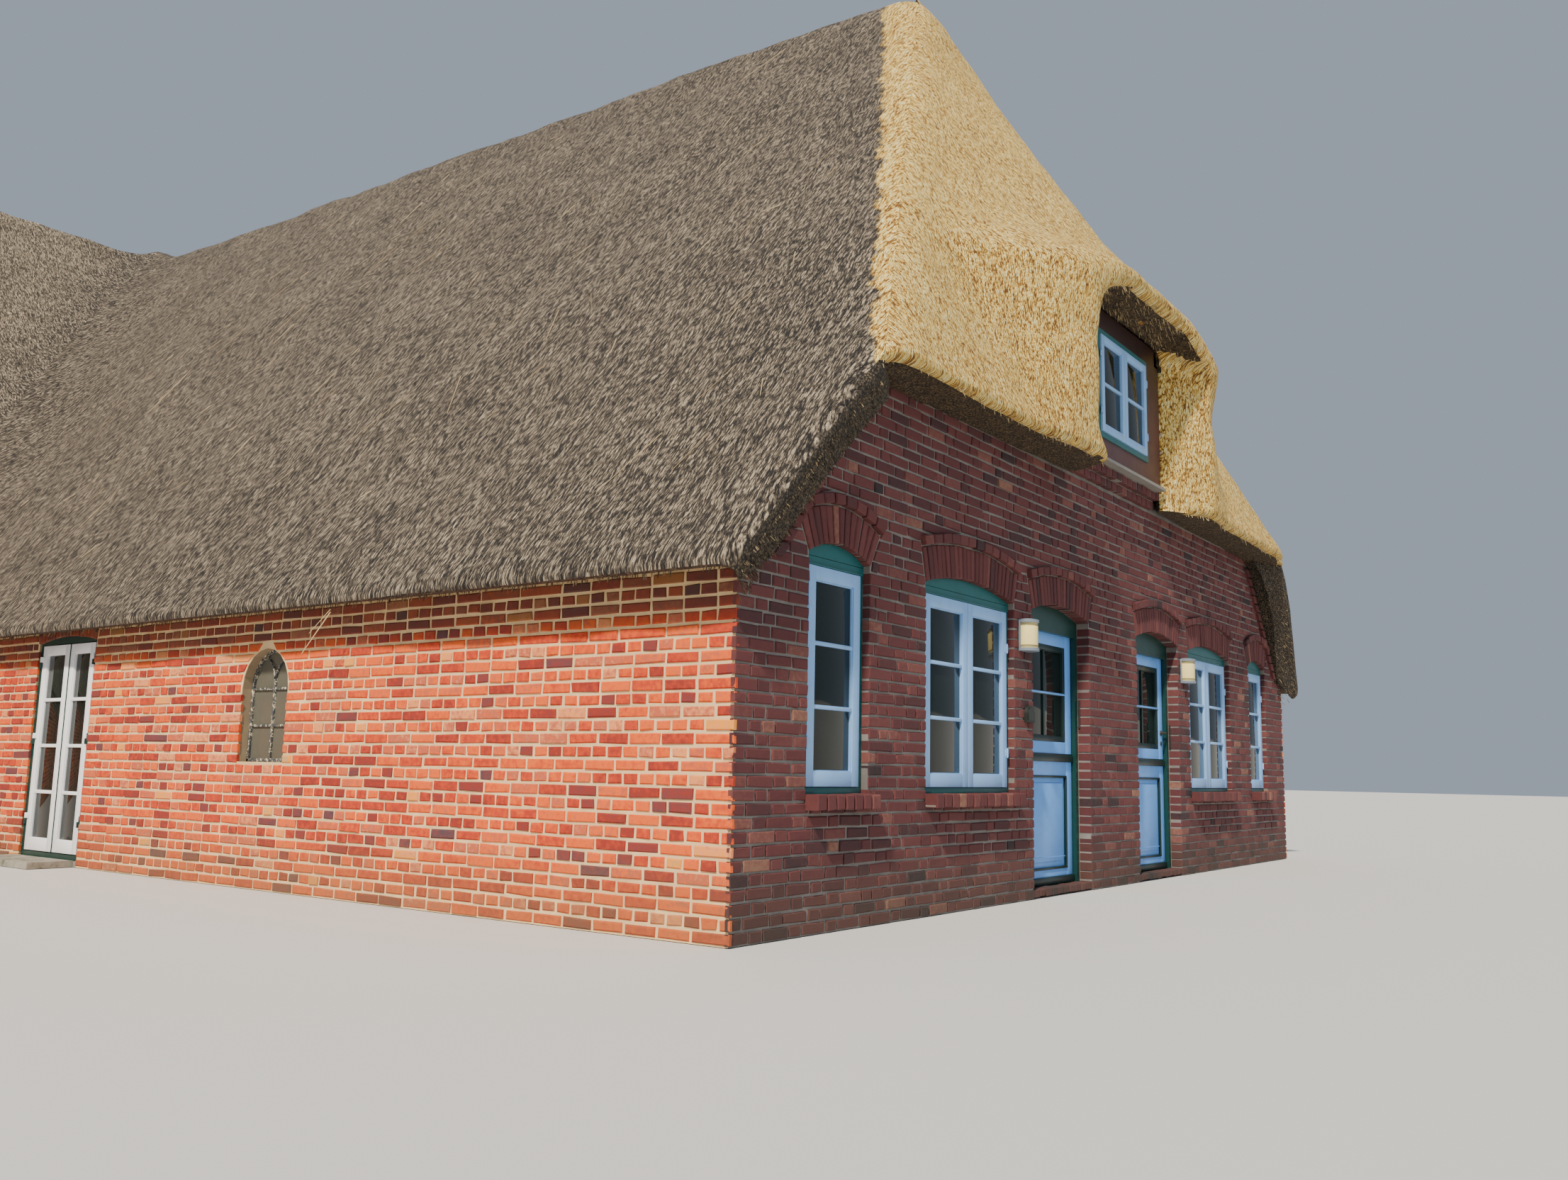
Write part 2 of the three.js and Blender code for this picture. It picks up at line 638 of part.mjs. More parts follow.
const sheetZ = [LOW_SILL - 60, LOW_HEAD + 60];
addPiece(
  'right_wall_glass',
  box([rightFace[0] - SHEET, rightFace[0]], [IRON_Y[0] - 60, 7800], sheetZ),
  colours.glass, 0.1,
);
addPiece(
  'back_wall_glass',
  box([-8900, 8900], [wingBackY[0] - SHEET, wingBackY[0]], sheetZ),
  colours.glass, 0.1,
);
for (const [name, side] of [['wing_end_glass_left', -1], ['wing_end_glass_right', 1]]) {
  const face = side * (WING_LENGTH_HALF - WALL);
  const xs = side < 0 ? [face, face + SHEET] : [face - SHEET, face];
  addPiece(name, box(xs, [WING_MIDDLE - 2800, WING_MIDDLE + 2800], sheetZ), colours.glass, 0.1);
}

// Floors: a slab on the ground with a tongue into each doorway, and the attic floor, whose
// sloping edges meet the thatch from inside.

const innerMain = MAIN_HALF - WALL;
const innerWing = WING_LENGTH_HALF - WALL;
let slab = solid(box([-innerMain, innerMain], [WALL, wingBackY[0]], [0, FLOOR_TOP]));
slab = slab.add(solid(box([-innerWing, innerWing], [wingFrontY[1], wingBackY[0]], [0, FLOOR_TOP])));
for (const side of [-1, 1]) {
  const xs = [side * DOOR_X - DOOR_WIDTH / 2, side * DOOR_X + DOOR_WIDTH / 2];
  slab = slab.add(solid(box(xs, [DOOR_FRAME_BACK, WALL + 10], [0, FLOOR_TOP])));
}
slab = slab.add(solid(box([-MAIN_HALF, -innerMain + 10], GARDEN_Y, [0, FLOOR_TOP])));
addPiece('ground_floor', geometryOf(slab), colours.stone, 0.8);

let attic = solid(box([-innerMain, innerMain], [WALL, wingBackY[0]], [CEILING_UNDER, CEILING_TOP]));
attic = attic.add(solid(
  box([-innerWing, innerWing], [wingFrontY[1], wingBackY[0]], [CEILING_UNDER, CEILING_TOP]),
));
addPiece('attic_floor', geometryOf(attic.intersect(underThatch)), colours.timber, 0.8);

// Front windows: a frame that fills the arched opening, and casements in its rebate.

function windowFrame(x, width) {
  const left = x - width / 2 + SEAM;
  const right = x + width / 2 - SEAM;
  const shape = archedShape(left, right, FRONT_SILL, SPRING, RISE - SEAM);
  const body = solid(extrudeFront(shape, [FRAME_FRONT, FRAME_BACK]));
  const gap = 3;
  const rebate = box(
    [x - width / 2 + FRAME_FACE - gap, x + width / 2 - FRAME_FACE + gap],
    [0, SASH_FRONT + SASH_DEPTH],
    [SASH_BOTTOM - gap, SASH_TOP + gap],
  );
  const light = box(
    [x - width / 2 + FRAME_FACE + STOP_LAP, x + width / 2 - FRAME_FACE - STOP_LAP],
    [0, FRAME_BACK + 50],
    [SASH_BOTTOM + STOP_LAP, SASH_TOP - STOP_LAP],
  );
  return body.subtract(solid(rebate)).subtract(solid(light));
}

// A leaf or casement: a solid slab hollowed to a thin pane inside each light.
function glazedLeaf(x, y, z, lights) {
  let body = solid(box(x, y, z));
  const middle = (y[0] + y[1]) / 2;
  for (const [lightX, lightZ] of lights) {
    body = body.subtract(solid(box(lightX, [y[0] - 10, middle - PANE / 2], lightZ)));
    body = body.subtract(solid(box(lightX, [middle + PANE / 2, y[1] + 10], lightZ)));
  }
  return body;
}

function casements(x, width, count) {
  const edges = [x - width / 2 + FRAME_FACE, x + width / 2 - FRAME_FACE];
  const step = (edges[1] - edges[0]) / count;
  const lights = [];
  for (let i = 0; i < count; i += 1) {
    const from = edges[0] + i * step;
    const across = [from + SASH_STILE, from + step - SASH_STILE];
    lights.push([across, [SASH_BOTTOM + SASH_STILE, SASH_TOP - SASH_STILE]]);
  }
  return glazedLeaf(edges, [SASH_FRONT, SASH_FRONT + SASH_DEPTH], [SASH_BOTTOM, SASH_TOP], lights);
}

for (const [name, x, width, count] of [
  ['window_1', -SINGLE_X, SINGLE_WIDTH, 1],
  ['window_2', -DOUBLE_X, DOUBLE_WIDTH, 2],
  ['window_3', DOUBLE_X, DOUBLE_WIDTH, 2],
  ['window_4', SINGLE_X, SINGLE_WIDTH, 1],
]) {
  addPiece(`${name}_frame`, geometryOf(windowFrame(x, width)), colours.green, 0.5);
  addPiece(`${name}_casement`, geometryOf(casements(x, width, count)), colours.white, 0.45);
}

// Front doors: frame with a stop in front of the leaf, leaf hung from behind, lever handle.

for (const [name, side] of [['left', -1], ['right', 1]]) {
  const x = side * DOOR_X;
  const half = DOOR_WIDTH / 2;
  const shape = archedShape(x - half + SEAM, x + half - SEAM, 0, SPRING, RISE - SEAM);
  const frameBody = solid(extrudeFront(shape, [DOOR_FRAME_FRONT, DOOR_FRAME_BACK]));
  const stop = half - FRAME_FACE;
  const rebate = stop + STOP_LAP;
  const stopHole = box([x - stop, x + stop], [0, DOOR_FRAME_BACK + 50], [DOOR_SILL, LEAF_TOP - STOP_LAP]);
  const rebateHole = box(
    [x - rebate, x + rebate],
    [DOOR_FRAME_FRONT + DOOR_STOP_DEPTH, DOOR_FRAME_BACK + 50],
    [DOOR_SILL, LEAF_TOP + LEAF_GAP],
  );
  let doorFrame = frameBody.subtract(solid(stopHole)).subtract(solid(rebateHole));

  const leafHalf = rebate - LEAF_GAP;
  const front = DOOR_FRAME_FRONT + DOOR_STOP_DEPTH + LEAF_GAP;
  const hingeX = x - side * (leafHalf + LEAF_GAP / 2);
  const hingeY = DOOR_FRAME_BACK + BARREL_OUT;
  const span = (a, b) => [Math.min(a, b), Math.max(a, b)];
  for (const z of DOOR_HINGES) {
    const flapX = span(hingeX, hingeX - side * FLAP_REACH);
    const flapY = [DOOR_FRAME_BACK - 1, DOOR_FRAME_BACK + FLAP];
    doorFrame = doorFrame.add(hingeHalf(hingeX, hingeY, z, flapX, flapY));
  }
  addPiece(`door_frame_${name}`, geometryOf(doorFrame), colours.green, 0.5);

  const leafY = [front, front + LEAF_THICK];
  const lightX = [x - leafHalf + DOOR_STILE, x + leafHalf - DOOR_STILE];
  const leafX = [x - leafHalf, x + leafHalf];
  let leaf = glazedLeaf(leafX, leafY, [LEAF_BOTTOM, LEAF_TOP], [[lightX, DOOR_LIGHT]]);
  leaf = leaf.subtract(solid(box(lightX, [front - 10, front + 14], DOOR_PANEL)));
  for (const z of DOOR_HINGES) {
    const flapX = span(hingeX, hingeX + side * FLAP_REACH);
    const flapY = [leafY[1] - 2, hingeY];
    leaf = leaf.add(hingeHalf(hingeX, hingeY, z + BARREL_LENGTH + SEAM, flapX, flapY));
  }
  addPiece(`door_leaf_${name}`, geometryOf(leaf), colours.white, 0.45);

  const lockX = x + side * (leafHalf - DOOR_STILE / 2);
  const rose = new THREE.CylinderGeometry(24, 24, 12, 16).translate(lockX, front - 6, HANDLE_Z);
  const neck = box([lockX - 8, lockX + 8], [front - 55, front - 4], [HANDLE_Z - 8, HANDLE_Z + 8]);
  const lever = box(
    side < 0 ? [lockX - 8, lockX + 112] : [lockX - 112, lockX + 8],
    [front - 60, front - 45],
    [HANDLE_Z - 9, HANDLE_Z + 9],
  );
  const handle = solid(rose).add(solid(neck)).add(solid(lever));
  addPiece(`door_handle_${name}`, geometryOf(handle), colours.iron, 0.4, 0.8);
}

// Garden door: frame, two glazed leaves hung on the outside, stone step.

const gardenFront = -MAIN_HALF + GARDEN_SET_BACK;
const gardenShape = archedShape(
  GARDEN_Y[0] + SEAM, GARDEN_Y[1] - SEAM, FLOOR_TOP, GARDEN_SPRING, GARDEN_RISE - SEAM,
);
const gardenInner = [GARDEN_Y[0] + GARDEN_FACE, GARDEN_Y[1] - GARDEN_FACE];
let gardenFrame = solid(extrudeSide(gardenShape, [gardenFront + 5, gardenFront + 105]));
gardenFrame = gardenFrame.subtract(solid(box(
  [gardenFront - 50, gardenFront + LEAF_THICK + LEAF_GAP],
  gardenInner,
  [GARDEN_LEAF[0] - LEAF_GAP, GARDEN_LEAF[1] + LEAF_GAP],
)));
gardenFrame = gardenFrame.subtract(solid(box(
  [gardenFront - 50, gardenFront + 200],
  [gardenInner[0] + 20, gardenInner[1] - 20],
  [GARDEN_LEAF[0] + 15, GARDEN_LEAF[1] - 15],
)));

const gardenHingeX = gardenFront - BARREL_OUT;
const gardenHingeYs = [gardenInner[0] + LEAF_GAP / 2, gardenInner[1] - LEAF_GAP / 2];
for (const [y, way] of [[gardenHingeYs[0], -1], [gardenHingeYs[1], 1]]) {
  for (const z of GARDEN_HINGES) {
    const flapY = way < 0 ? [y - FLAP_REACH, y] : [y, y + FLAP_REACH];
    const flapX = [gardenHingeX, gardenFront + FLAP];
    gardenFrame = gardenFrame.add(hingeHalf(gardenHingeX, y, z, flapX, flapY));
  }
}
addPiece('garden_door_frame', geometryOf(gardenFrame), colours.green, 0.5);

const gardenMiddle = GARDEN_MEETING_Y;
for (const [name, ys, hingeY, way] of [
  [
    'garden_door_leaf_front', [gardenInner[0] + LEAF_GAP, gardenMiddle - GARDEN_MEETING / 2],
    gardenHingeYs[0], 1,
  ],
  [
    'garden_door_leaf_rear', [gardenMiddle + GARDEN_MEETING / 2, gardenInner[1] - LEAF_GAP],
    gardenHingeYs[1], -1,
  ],
]) {
  const lightY = [ys[0] + GARDEN_STILE, ys[1] - GARDEN_STILE];
  const lightZ = [GARDEN_LEAF[0] + GARDEN_STILE + 20, GARDEN_LEAF[1] - GARDEN_STILE];
  const flat = glazedLeaf(ys, [0, LEAF_THICK], GARDEN_LEAF, [[lightY, lightZ]]);
  const swap = new THREE.Matrix4().makeBasis(
    new THREE.Vector3(0, 1, 0),
    new THREE.Vector3(-1, 0, 0),
    new THREE.Vector3(0, 0, 1),
  );
  let turned = solid(geometryOf(flat).applyMatrix4(swap).translate(gardenFront + LEAF_THICK, 0, 0));
  for (const z of GARDEN_HINGES) {
    const flapY = way > 0 ? [hingeY, hingeY + FLAP_REACH] : [hingeY - FLAP_REACH, hingeY];
    const flapX = [gardenHingeX, gardenFront + 2];
    turned = turned.add(hingeHalf(gardenHingeX, hingeY, z + BARREL_LENGTH + SEAM, flapX, flapY));
  }
  addPiece(name, geometryOf(turned), colours.white, 0.45);
}
addPiece(
  'stone_step',
  box([-MAIN_HALF - STEP_PROUD, -MAIN_HALF], [GARDEN_Y[0] + 50, GARDEN_Y[1] + 60], [0, STEP_TOP]),
  colours.stone, 0.95,
);

// Arched iron window in the left wall.

const ironX = [-MAIN_HALF + IRON_SET_BACK, -MAIN_HALF + IRON_SET_BACK + 40];
const ironShape = archedShape(
  IRON_Y[0] + SEAM, IRON_Y[1] - SEAM, IRON_SILL, ironSpring, ironRadius - SEAM,
);
const ironInner = archedShape(
  IRON_Y[0] + IRON_RING, IRON_Y[1] - IRON_RING, IRON_SILL + IRON_RING,
  ironSpring, ironRadius - IRON_RING,
);
let ironWindow = solid(extrudeSide(ironShape, ironX));
const paneX = (ironX[0] + ironX[1]) / 2;
ironWindow = ironWindow.subtract(solid(extrudeSide(ironInner, [ironX[0] - 10, paneX - PANE / 2])));
ironWindow = ironWindow.subtract(solid(extrudeSide(ironInner, [paneX + PANE / 2, ironX[1] + 10])));
addPiece('iron_window', geometryOf(ironWindow), colours.iron, 0.6, 0.6);

// Dormer: sill board on the corbels, board wall, window frame and a pair of casements.

addPiece(
  'dormer_sill',
  box([-DORMER_HALF, DORMER_HALF], [DORMER_FRONT - 50, DORMER_FRONT + 80], [CORBELS[1][1], DORMER_BASE]),
  colours.stone, 0.7,
);
const boardY = [DORMER_FRONT, DORMER_FRONT + DORMER_WALL];
const dormerHole = [[-DORMER_LIGHT_HALF, DORMER_LIGHT_HALF], DORMER_LIGHT];
let boards = solid(box([-DORMER_HALF, DORMER_HALF], boardY, [DORMER_BASE, 4590]));
boards = boards.add(solid(box([-800, 800], boardY, [DORMER_BASE, DORMER_TOP])));
boards = boards.subtract(solid(box(dormerHole[0], [-500, 500], dormerHole[1])));
addPiece('dormer_wall', geometryOf(boards), colours.boards, 0.6);
const dormerFace = 45;
const dormerInner = [-DORMER_LIGHT_HALF + dormerFace, DORMER_LIGHT_HALF - dormerFace];
const dormerInnerZ = [DORMER_LIGHT[0] + dormerFace, DORMER_LIGHT[1] - dormerFace];
let dormerFrame = solid(box(dormerHole[0], [DORMER_FRONT - 15, DORMER_FRONT + 65], dormerHole[1]));
dormerFrame = dormerFrame.subtract(solid(box(dormerInner, [-500, DORMER_FRONT + 20], dormerInnerZ)));
dormerFrame = dormerFrame.subtract(solid(box(
  [dormerInner[0] + 12, dormerInner[1] - 12],
  [-500, 500],
  [dormerInnerZ[0] + 12, dormerInnerZ[1] - 12],
)));
addPiece('dormer_frame', geometryOf(dormerFrame), colours.green, 0.5);
const dormerLights = [-1, 1].map((side) => {
  const xs = [60, dormerInner[1] - 63].map((x) => side * x).sort((a, b) => a - b);
  return [xs, [dormerInnerZ[0] + 63, dormerInnerZ[1] - 63]];
});
const dormerCasement = glazedLeaf(
  [dormerInner[0] + 3, dormerInner[1] - 3],
  [DORMER_FRONT - 30, DORMER_FRONT + 20],
  [dormerInnerZ[0] + 3, dormerInnerZ[1] - 3],
  dormerLights,
);
addPiece('dormer_casement', geometryOf(dormerCasement), colours.white, 0.45);

// Wall lamps on the piers beside the doors: a back plate with a half-round shade.

for (const [name, side] of [['wall_lamp_left', -1], ['wall_lamp_right', 1]]) {
  const x = side * 1735;
  const shade = new THREE.Shape();
  shade.moveTo(x - 95, 0);
  shade.lineTo(x - 95, 30);
  shade.absarc(x, 30, 95, Math.PI, 0, true);
  shade.lineTo(x + 95, 0);
  shade.closePath();
  const body = new THREE.ExtrudeGeometry(shade, { depth: 240, bevelEnabled: false, curveSegments: 8 });
  body.rotateX(Math.PI).translate(0, 0, 2000);
  addPiece(name, body, colours.lamp, 0.4);
}

const footprint = new THREE.Box3().setFromObject(house);
house.position.y = -Math.round((footprint.min.y + footprint.max.y) / 2);

export default house;
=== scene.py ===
# Thatched brick farmhouse: a gable wing with arched windows, two half-glazed doors and a
# dormer under a reed hood, and a low cross wing behind it. Metres, +Y from the gable back.
import math

import bpy
import numpy as np
from mathutils import Matrix, Vector, noise


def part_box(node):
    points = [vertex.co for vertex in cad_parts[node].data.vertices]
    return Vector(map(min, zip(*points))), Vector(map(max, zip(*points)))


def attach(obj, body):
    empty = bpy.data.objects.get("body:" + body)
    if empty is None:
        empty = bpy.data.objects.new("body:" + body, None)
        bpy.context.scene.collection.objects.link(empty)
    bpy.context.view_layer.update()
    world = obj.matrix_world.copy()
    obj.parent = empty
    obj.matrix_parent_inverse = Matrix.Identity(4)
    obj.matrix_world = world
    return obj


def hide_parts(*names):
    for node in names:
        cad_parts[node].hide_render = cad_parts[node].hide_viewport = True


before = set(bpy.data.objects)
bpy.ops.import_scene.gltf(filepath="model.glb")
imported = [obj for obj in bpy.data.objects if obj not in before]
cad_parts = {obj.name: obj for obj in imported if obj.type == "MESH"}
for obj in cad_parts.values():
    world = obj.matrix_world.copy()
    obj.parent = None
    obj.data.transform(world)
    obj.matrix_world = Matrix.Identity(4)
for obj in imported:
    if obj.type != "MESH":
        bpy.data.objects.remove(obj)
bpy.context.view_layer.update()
random = np.random.default_rng(18)

# Camera and light. The camera stands in front of the left corner of the gable, low
# down and looking a little up, as the photograph was taken.
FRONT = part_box("front_wall_pier")[0].y
CAMERA_PLACE = (-10.188, FRONT - 4.0, 0.872)
CAMERA_YAW = math.radians(53.93)
CAMERA_PITCH = math.radians(8.127)
CAMERA_ROLL = math.radians(1.128)
SENSOR_WIDTH = 36.0
PHOTO_WIDTH = 2212
FOCAL_PIXELS = 1790.7


def add_object(name, data):
    """Puts a camera, a light or a mesh into the scene."""
    made = bpy.data.objects.new(name, data)
    bpy.context.scene.collection.objects.link(made)
    return made


def add_sun(name, azimuth, elevation, strength, width, colour):
    """A distant lamp that shines from azimuth, measured from +X towards +Y, in degrees."""
    data = bpy.data.lights.new(name, "SUN")
    data.energy = strength
    data.angle = math.radians(width)
    data.color = colour
    turn = Matrix.Rotation(math.radians(azimuth + 90), 4, "Z")
    add_object(name, data).matrix_world = turn @ Matrix.Rotation(math.radians(90 - elevation), 4, "X")


camera = add_object("camera", bpy.data.cameras.new("camera"))
camera.data.sensor_fit = "HORIZONTAL"
camera.data.sensor_width = SENSOR_WIDTH
camera.data.lens = FOCAL_PIXELS * SENSOR_WIDTH / PHOTO_WIDTH
camera.data.clip_end = 500.0
turn = Matrix.Rotation(-CAMERA_YAW, 4, "Z") @ Matrix.Rotation(math.pi / 2 + CAMERA_PITCH, 4, "X")
camera.matrix_world = Matrix.Translation(CAMERA_PLACE) @ turn @ Matrix.Rotation(CAMERA_ROLL, 4, "Z")
bpy.context.scene.camera = camera
add_sun("key_light", 196, 47, 5.8, 3, (1.0, 0.90, 0.76))
add_sun("fill_light", 262, 30, 0.35, 60, (0.82, 0.90, 1.0))
world = bpy.data.worlds.new("studio")
world.use_nodes = True
sky = world.node_tree.nodes["Background"].inputs
sky["Color"].default_value = (0.72, 0.83, 1.0, 1.0)
sky["Strength"].default_value = 0.45
bpy.context.scene.world = world


# Floor: a plain pale plane, a hair below the house. Its finish and all the others are written
# with two classes: Value is a socket that can be added and multiplied, and Finish a material.
class Value:
    """A number that varies over a surface, as the output socket of a node."""

    def __init__(self, finish, socket):
        self.finish = finish
        self.socket = socket

    def math(self, operation, *others):
        """Another value made of this one and others, which may be plain numbers."""
        node = self.finish.tree.nodes.new("ShaderNodeMath")
        node.operation = operation
        for place, item in enumerate((self, *others)):
            self.finish.put(node.inputs[place], item)
        return Value(self.finish, node.outputs[0])

    def __add__(self, other):
        return self.math("ADD", other)

    __radd__ = __add__

    def __mul__(self, other):
        return self.math("MULTIPLY", other)

    __rmul__ = __mul__

    def __sub__(self, other):
        return self.math("SUBTRACT", other)

    def __rsub__(self, other):
        return self.math("MULTIPLY_ADD", -1.0, other)

    def between(self, low, high):
        """0 below low, 1 above high, and smooth in between."""
        inputs = {"Value": self, "From Min": low, "From Max": high}
        return self.finish.node("ShaderNodeMapRange", inputs, interpolation_type="SMOOTHSTEP")["Result"]


class Finish:
    """A material in the making: node() adds any node, and made() gives the material."""

    def __init__(self, name):
        self.material = bpy.data.materials.new(name)
        self.material.use_nodes = True
        self.tree = self.material.node_tree
        self.shader = self.tree.nodes["Principled BSDF"]

    def put(self, socket, item):
        """Gives a socket a value, a colour of three numbers or a number."""
        if isinstance(item, Value):
            self.tree.links.new(item.socket, socket)
        else:
            socket.default_value = (*item, 1.0) if socket.type == "RGBA" else item

    def node(self, kind, inputs=None, **settings):
        """Adds a node, and returns its outputs by name."""
        made = self.tree.nodes.new(kind)
        for key, setting in settings.items():
            setattr(made, key, setting)
        for key, item in (inputs or {}).items():
            self.put(made.inputs[key], item)
        return {socket.name: Value(self, socket) for socket in made.outputs}

    def mix(self, share, first, second):
        """The first colour where share is 0, and the second where it is 1."""
        made = self.tree.nodes.new("ShaderNodeMix")
        made.data_type = "RGBA"
        for place, item in ((0, share), (6, first), (7, second)):
            self.put(made.inputs[place], item)
        return Value(self, made.outputs[2])

    def colours(self, share, stops):
        """Colours that change with share, given as stops of a place and a colour each."""
        made = self.tree.nodes.new("ShaderNodeValToRGB")
        ramp = made.color_ramp
        while len(ramp.elements) < len(stops):
            ramp.elements.new(1.0)
        for element, (place, colour) in zip(ramp.elements, stops):
            element.position = place
            element.color = (*colour, 1.0)
        self.put(made.inputs["Fac"], share)
        return Value(self, made.outputs["Color"])

    def place(self, scale=(1, 1, 1)):
        """Where a point lies on the piece, in metres times scale."""
        start = self.node("ShaderNodeTexCoord")["Object"]
        return self.node("ShaderNodeMapping", {"Vector": start, "Scale": scale})["Vector"]

    def axes(self, place=None):
        """The X, Y and Z of a place, or of where a point lies on the piece."""
        return self.node("ShaderNodeSeparateXYZ", {"Vector": place or self.place()})

    def grain(self, size, detail, roughness, place=None):
        """Cloudy noise whose marks are about size metres across."""
        inputs = {"Scale": 1.0 / size, "Detail": detail, "Roughness": roughness}
        return self.node("ShaderNodeTexNoise", {**inputs, "Vector": place or self.place()})["Fac"]

    def made(self, colour, roughness, height=None, depth=0.0, strength=0.0):
        """The material, with its colour and roughness, and with bumps up to depth metres high."""
        self.put(self.shader.inputs["Base Color"], colour)
        self.put(self.shader.inputs["Roughness"], roughness)
        if height is not None:
            inputs = {"Height": height, "Distance": depth, "Strength": strength}
            self.put(self.shader.inputs["Normal"], self.node("ShaderNodeBump", inputs)["Normal"])
        return self.material


bpy.ops.object.select_all(action="DESELECT")
bpy.ops.mesh.primitive_plane_add(size=240, location=(0, 0, -0.004))
floor = bpy.context.object
floor.name = "studio_floor"
floor.data.materials.append(Finish("studio_floor").made((0.62, 0.62, 0.60), 0.9))

# Reed thatch. One surface runs over all the slopes: it is rounded along the hips and the
# ridges, swept in softly at the valleys, and swells into the hood over the dormer. Each
# slope is a sheet laid on that surface, thickened inwards and cut off at its eave.
SIDES = {"left": -1, "right": 1}
RIDGE_FRONT_Z = 8.61
RIDGE_CROSS_Z = 9.15
WING_MIDDLE = FRONT + 16.4
EAVE_X = 5.44
EAVE_Z = 1.85
EAVE_TILT = 0.25
WING_EAVE_RUN = 5.58
WING_LENGTH_HALF = 11.5
HIP_EAVE_Z = 3.27
HIP_OVERHANG = 0.40
HIP_RUN = 1.85
VERGE_OVERHANG = 0.20
THATCH_DEPTH = 0.35
REED_DEPTH = 0.34
REED_SQUARE = 0.13
HIP_ROUNDING = 0.30
# Straws that fray out of a metre of eave and of verge, on the gable wing and the cross wing.
MAIN_STRAWS = {"left": (130, 420), "right": (70, 300)}
EAVE_STRAWS, VERGE_STRAWS = 70, 120
# How widely the valleys are swept in, by height.
VALLEY_SWEEP = np.array([(1.90, 0.55), (3.40, 1.60), (7.60, 1.40), (8.90, 0.55)])
# The swell of the hood, by height: how far it stands out, where it is full and where it ends.
SWELL = np.array([
    (3.27, .05, 1.45, 2.30), (3.60, .19, 1.40, 2.40), (4.00, .35, 1.30, 2.70), (4.20, .415, 1.25, 2.80),
    (4.42, .53, 1.30, 2.90), (4.70, .695, 1.35, 2.90), (4.93, .81, .70, 2.80), (5.08, .70, .30, 2.70),
    (5.30, .60, .05, 2.60), (5.56, .49, 0, 2.40), (5.89, .42, 0, 2.20), (6.20, .35, 0, 2.00),
    (6.50, .28, 0, 1.80), (6.80, .21, 0, 1.50), (7.10, .15, 0, 1.20), (7.40, .07, 0, .90),
    (7.70, 0, 0, .70), (9.00, 0, 0, .70),
])


class Plane:
    """A plane with its unit normal, and the offset of that normal."""

    def __init__(self, normal, offset):
        self.normal = np.array(normal, float)
        self.offset = offset

    def above(self, points):
        return points @ self.normal - self.offset

    def opposite(self):
        return Plane(-self.normal, -self.offset)


def plane_through(a, b, c, outside):
    """The plane through three points, with its normal on the side of outside."""
    a, b, c = (np.array(p, float) for p in (a, b, c))
    normal = np.cross(b - a, c - a)
    normal /= np.linalg.norm(normal)
    if normal @ (np.array(outside) - a) < 0:
        normal = -normal
    return Plane(normal, normal @ a)


def mitre(own, other):
    """The plane along which two slopes meet, facing the other one."""
    normal = other.normal - own.normal
    length = np.linalg.norm(normal)
    return Plane(normal / length, (other.offset - own.offset) / length)


# Places far above and far below the roof, which tell a plane's outer side.
HIGH = (0, WING_MIDDLE, 30)
LOW = (0, WING_MIDDLE, -30)
CROSSING = (0, WING_MIDDLE, RIDGE_CROSS_Z)
ridge_rise = (RIDGE_CROSS_Z - RIDGE_FRONT_Z) / (WING_MIDDLE - FRONT)
hip_apex_z = RIDGE_FRONT_Z + ridge_rise * HIP_RUN
hip_corner_x = (RIDGE_FRONT_Z - ridge_rise * HIP_OVERHANG - HIP_EAVE_Z) * EAVE_X / (RIDGE_FRONT_Z - EAVE_Z)
wing_corner_run = (RIDGE_CROSS_Z - HIP_EAVE_Z) * WING_EAVE_RUN / (RIDGE_CROSS_Z - EAVE_Z)


def long_slopes(side):
    """The near and far facets of a long slope of the gable wing, and the cut of its eave."""
    foot = (side * EAVE_X, FRONT, EAVE_Z)
    along = (side * EAVE_X, FRONT + 10, EAVE_Z)
    inward = (side * (EAVE_X - 1), FRONT, EAVE_Z + EAVE_TILT)
    near = plane_through((0, FRONT, RIDGE_FRONT_Z), CROSSING, foot, HIGH)
    return near, plane_through(CROSSING, foot, along, HIGH), plane_through(foot, along, inward, LOW)


def wing_slopes(way):
    """A long slope of the cross wing and the cut of its eave; way is -1 to the front."""
    foot_y = WING_MIDDLE + way * WING_EAVE_RUN
    foot = (0, foot_y, EAVE_Z)
    slope = plane_through(CROSSING, (1, WING_MIDDLE, RIDGE_CROSS_Z), foot, HIGH)
    return slope, plane_through(foot, (10, foot_y, EAVE_Z), (0, foot_y - way, EAVE_Z + EAVE_TILT), LOW)


def wing_hip(side):
    """The hip at one end of the cross wing."""
    eave_x = side * (WING_LENGTH_HALF + HIP_OVERHANG)
    top = (side * (WING_LENGTH_HALF - HIP_RUN), WING_MIDDLE, RIDGE_CROSS_Z)
    ends = [(eave_x, WING_MIDDLE + way * wing_corner_run, HIP_EAVE_Z) for way in (-1, 1)]
    return plane_through(*ends, top, (eave_x, WING_MIDDLE, 30))


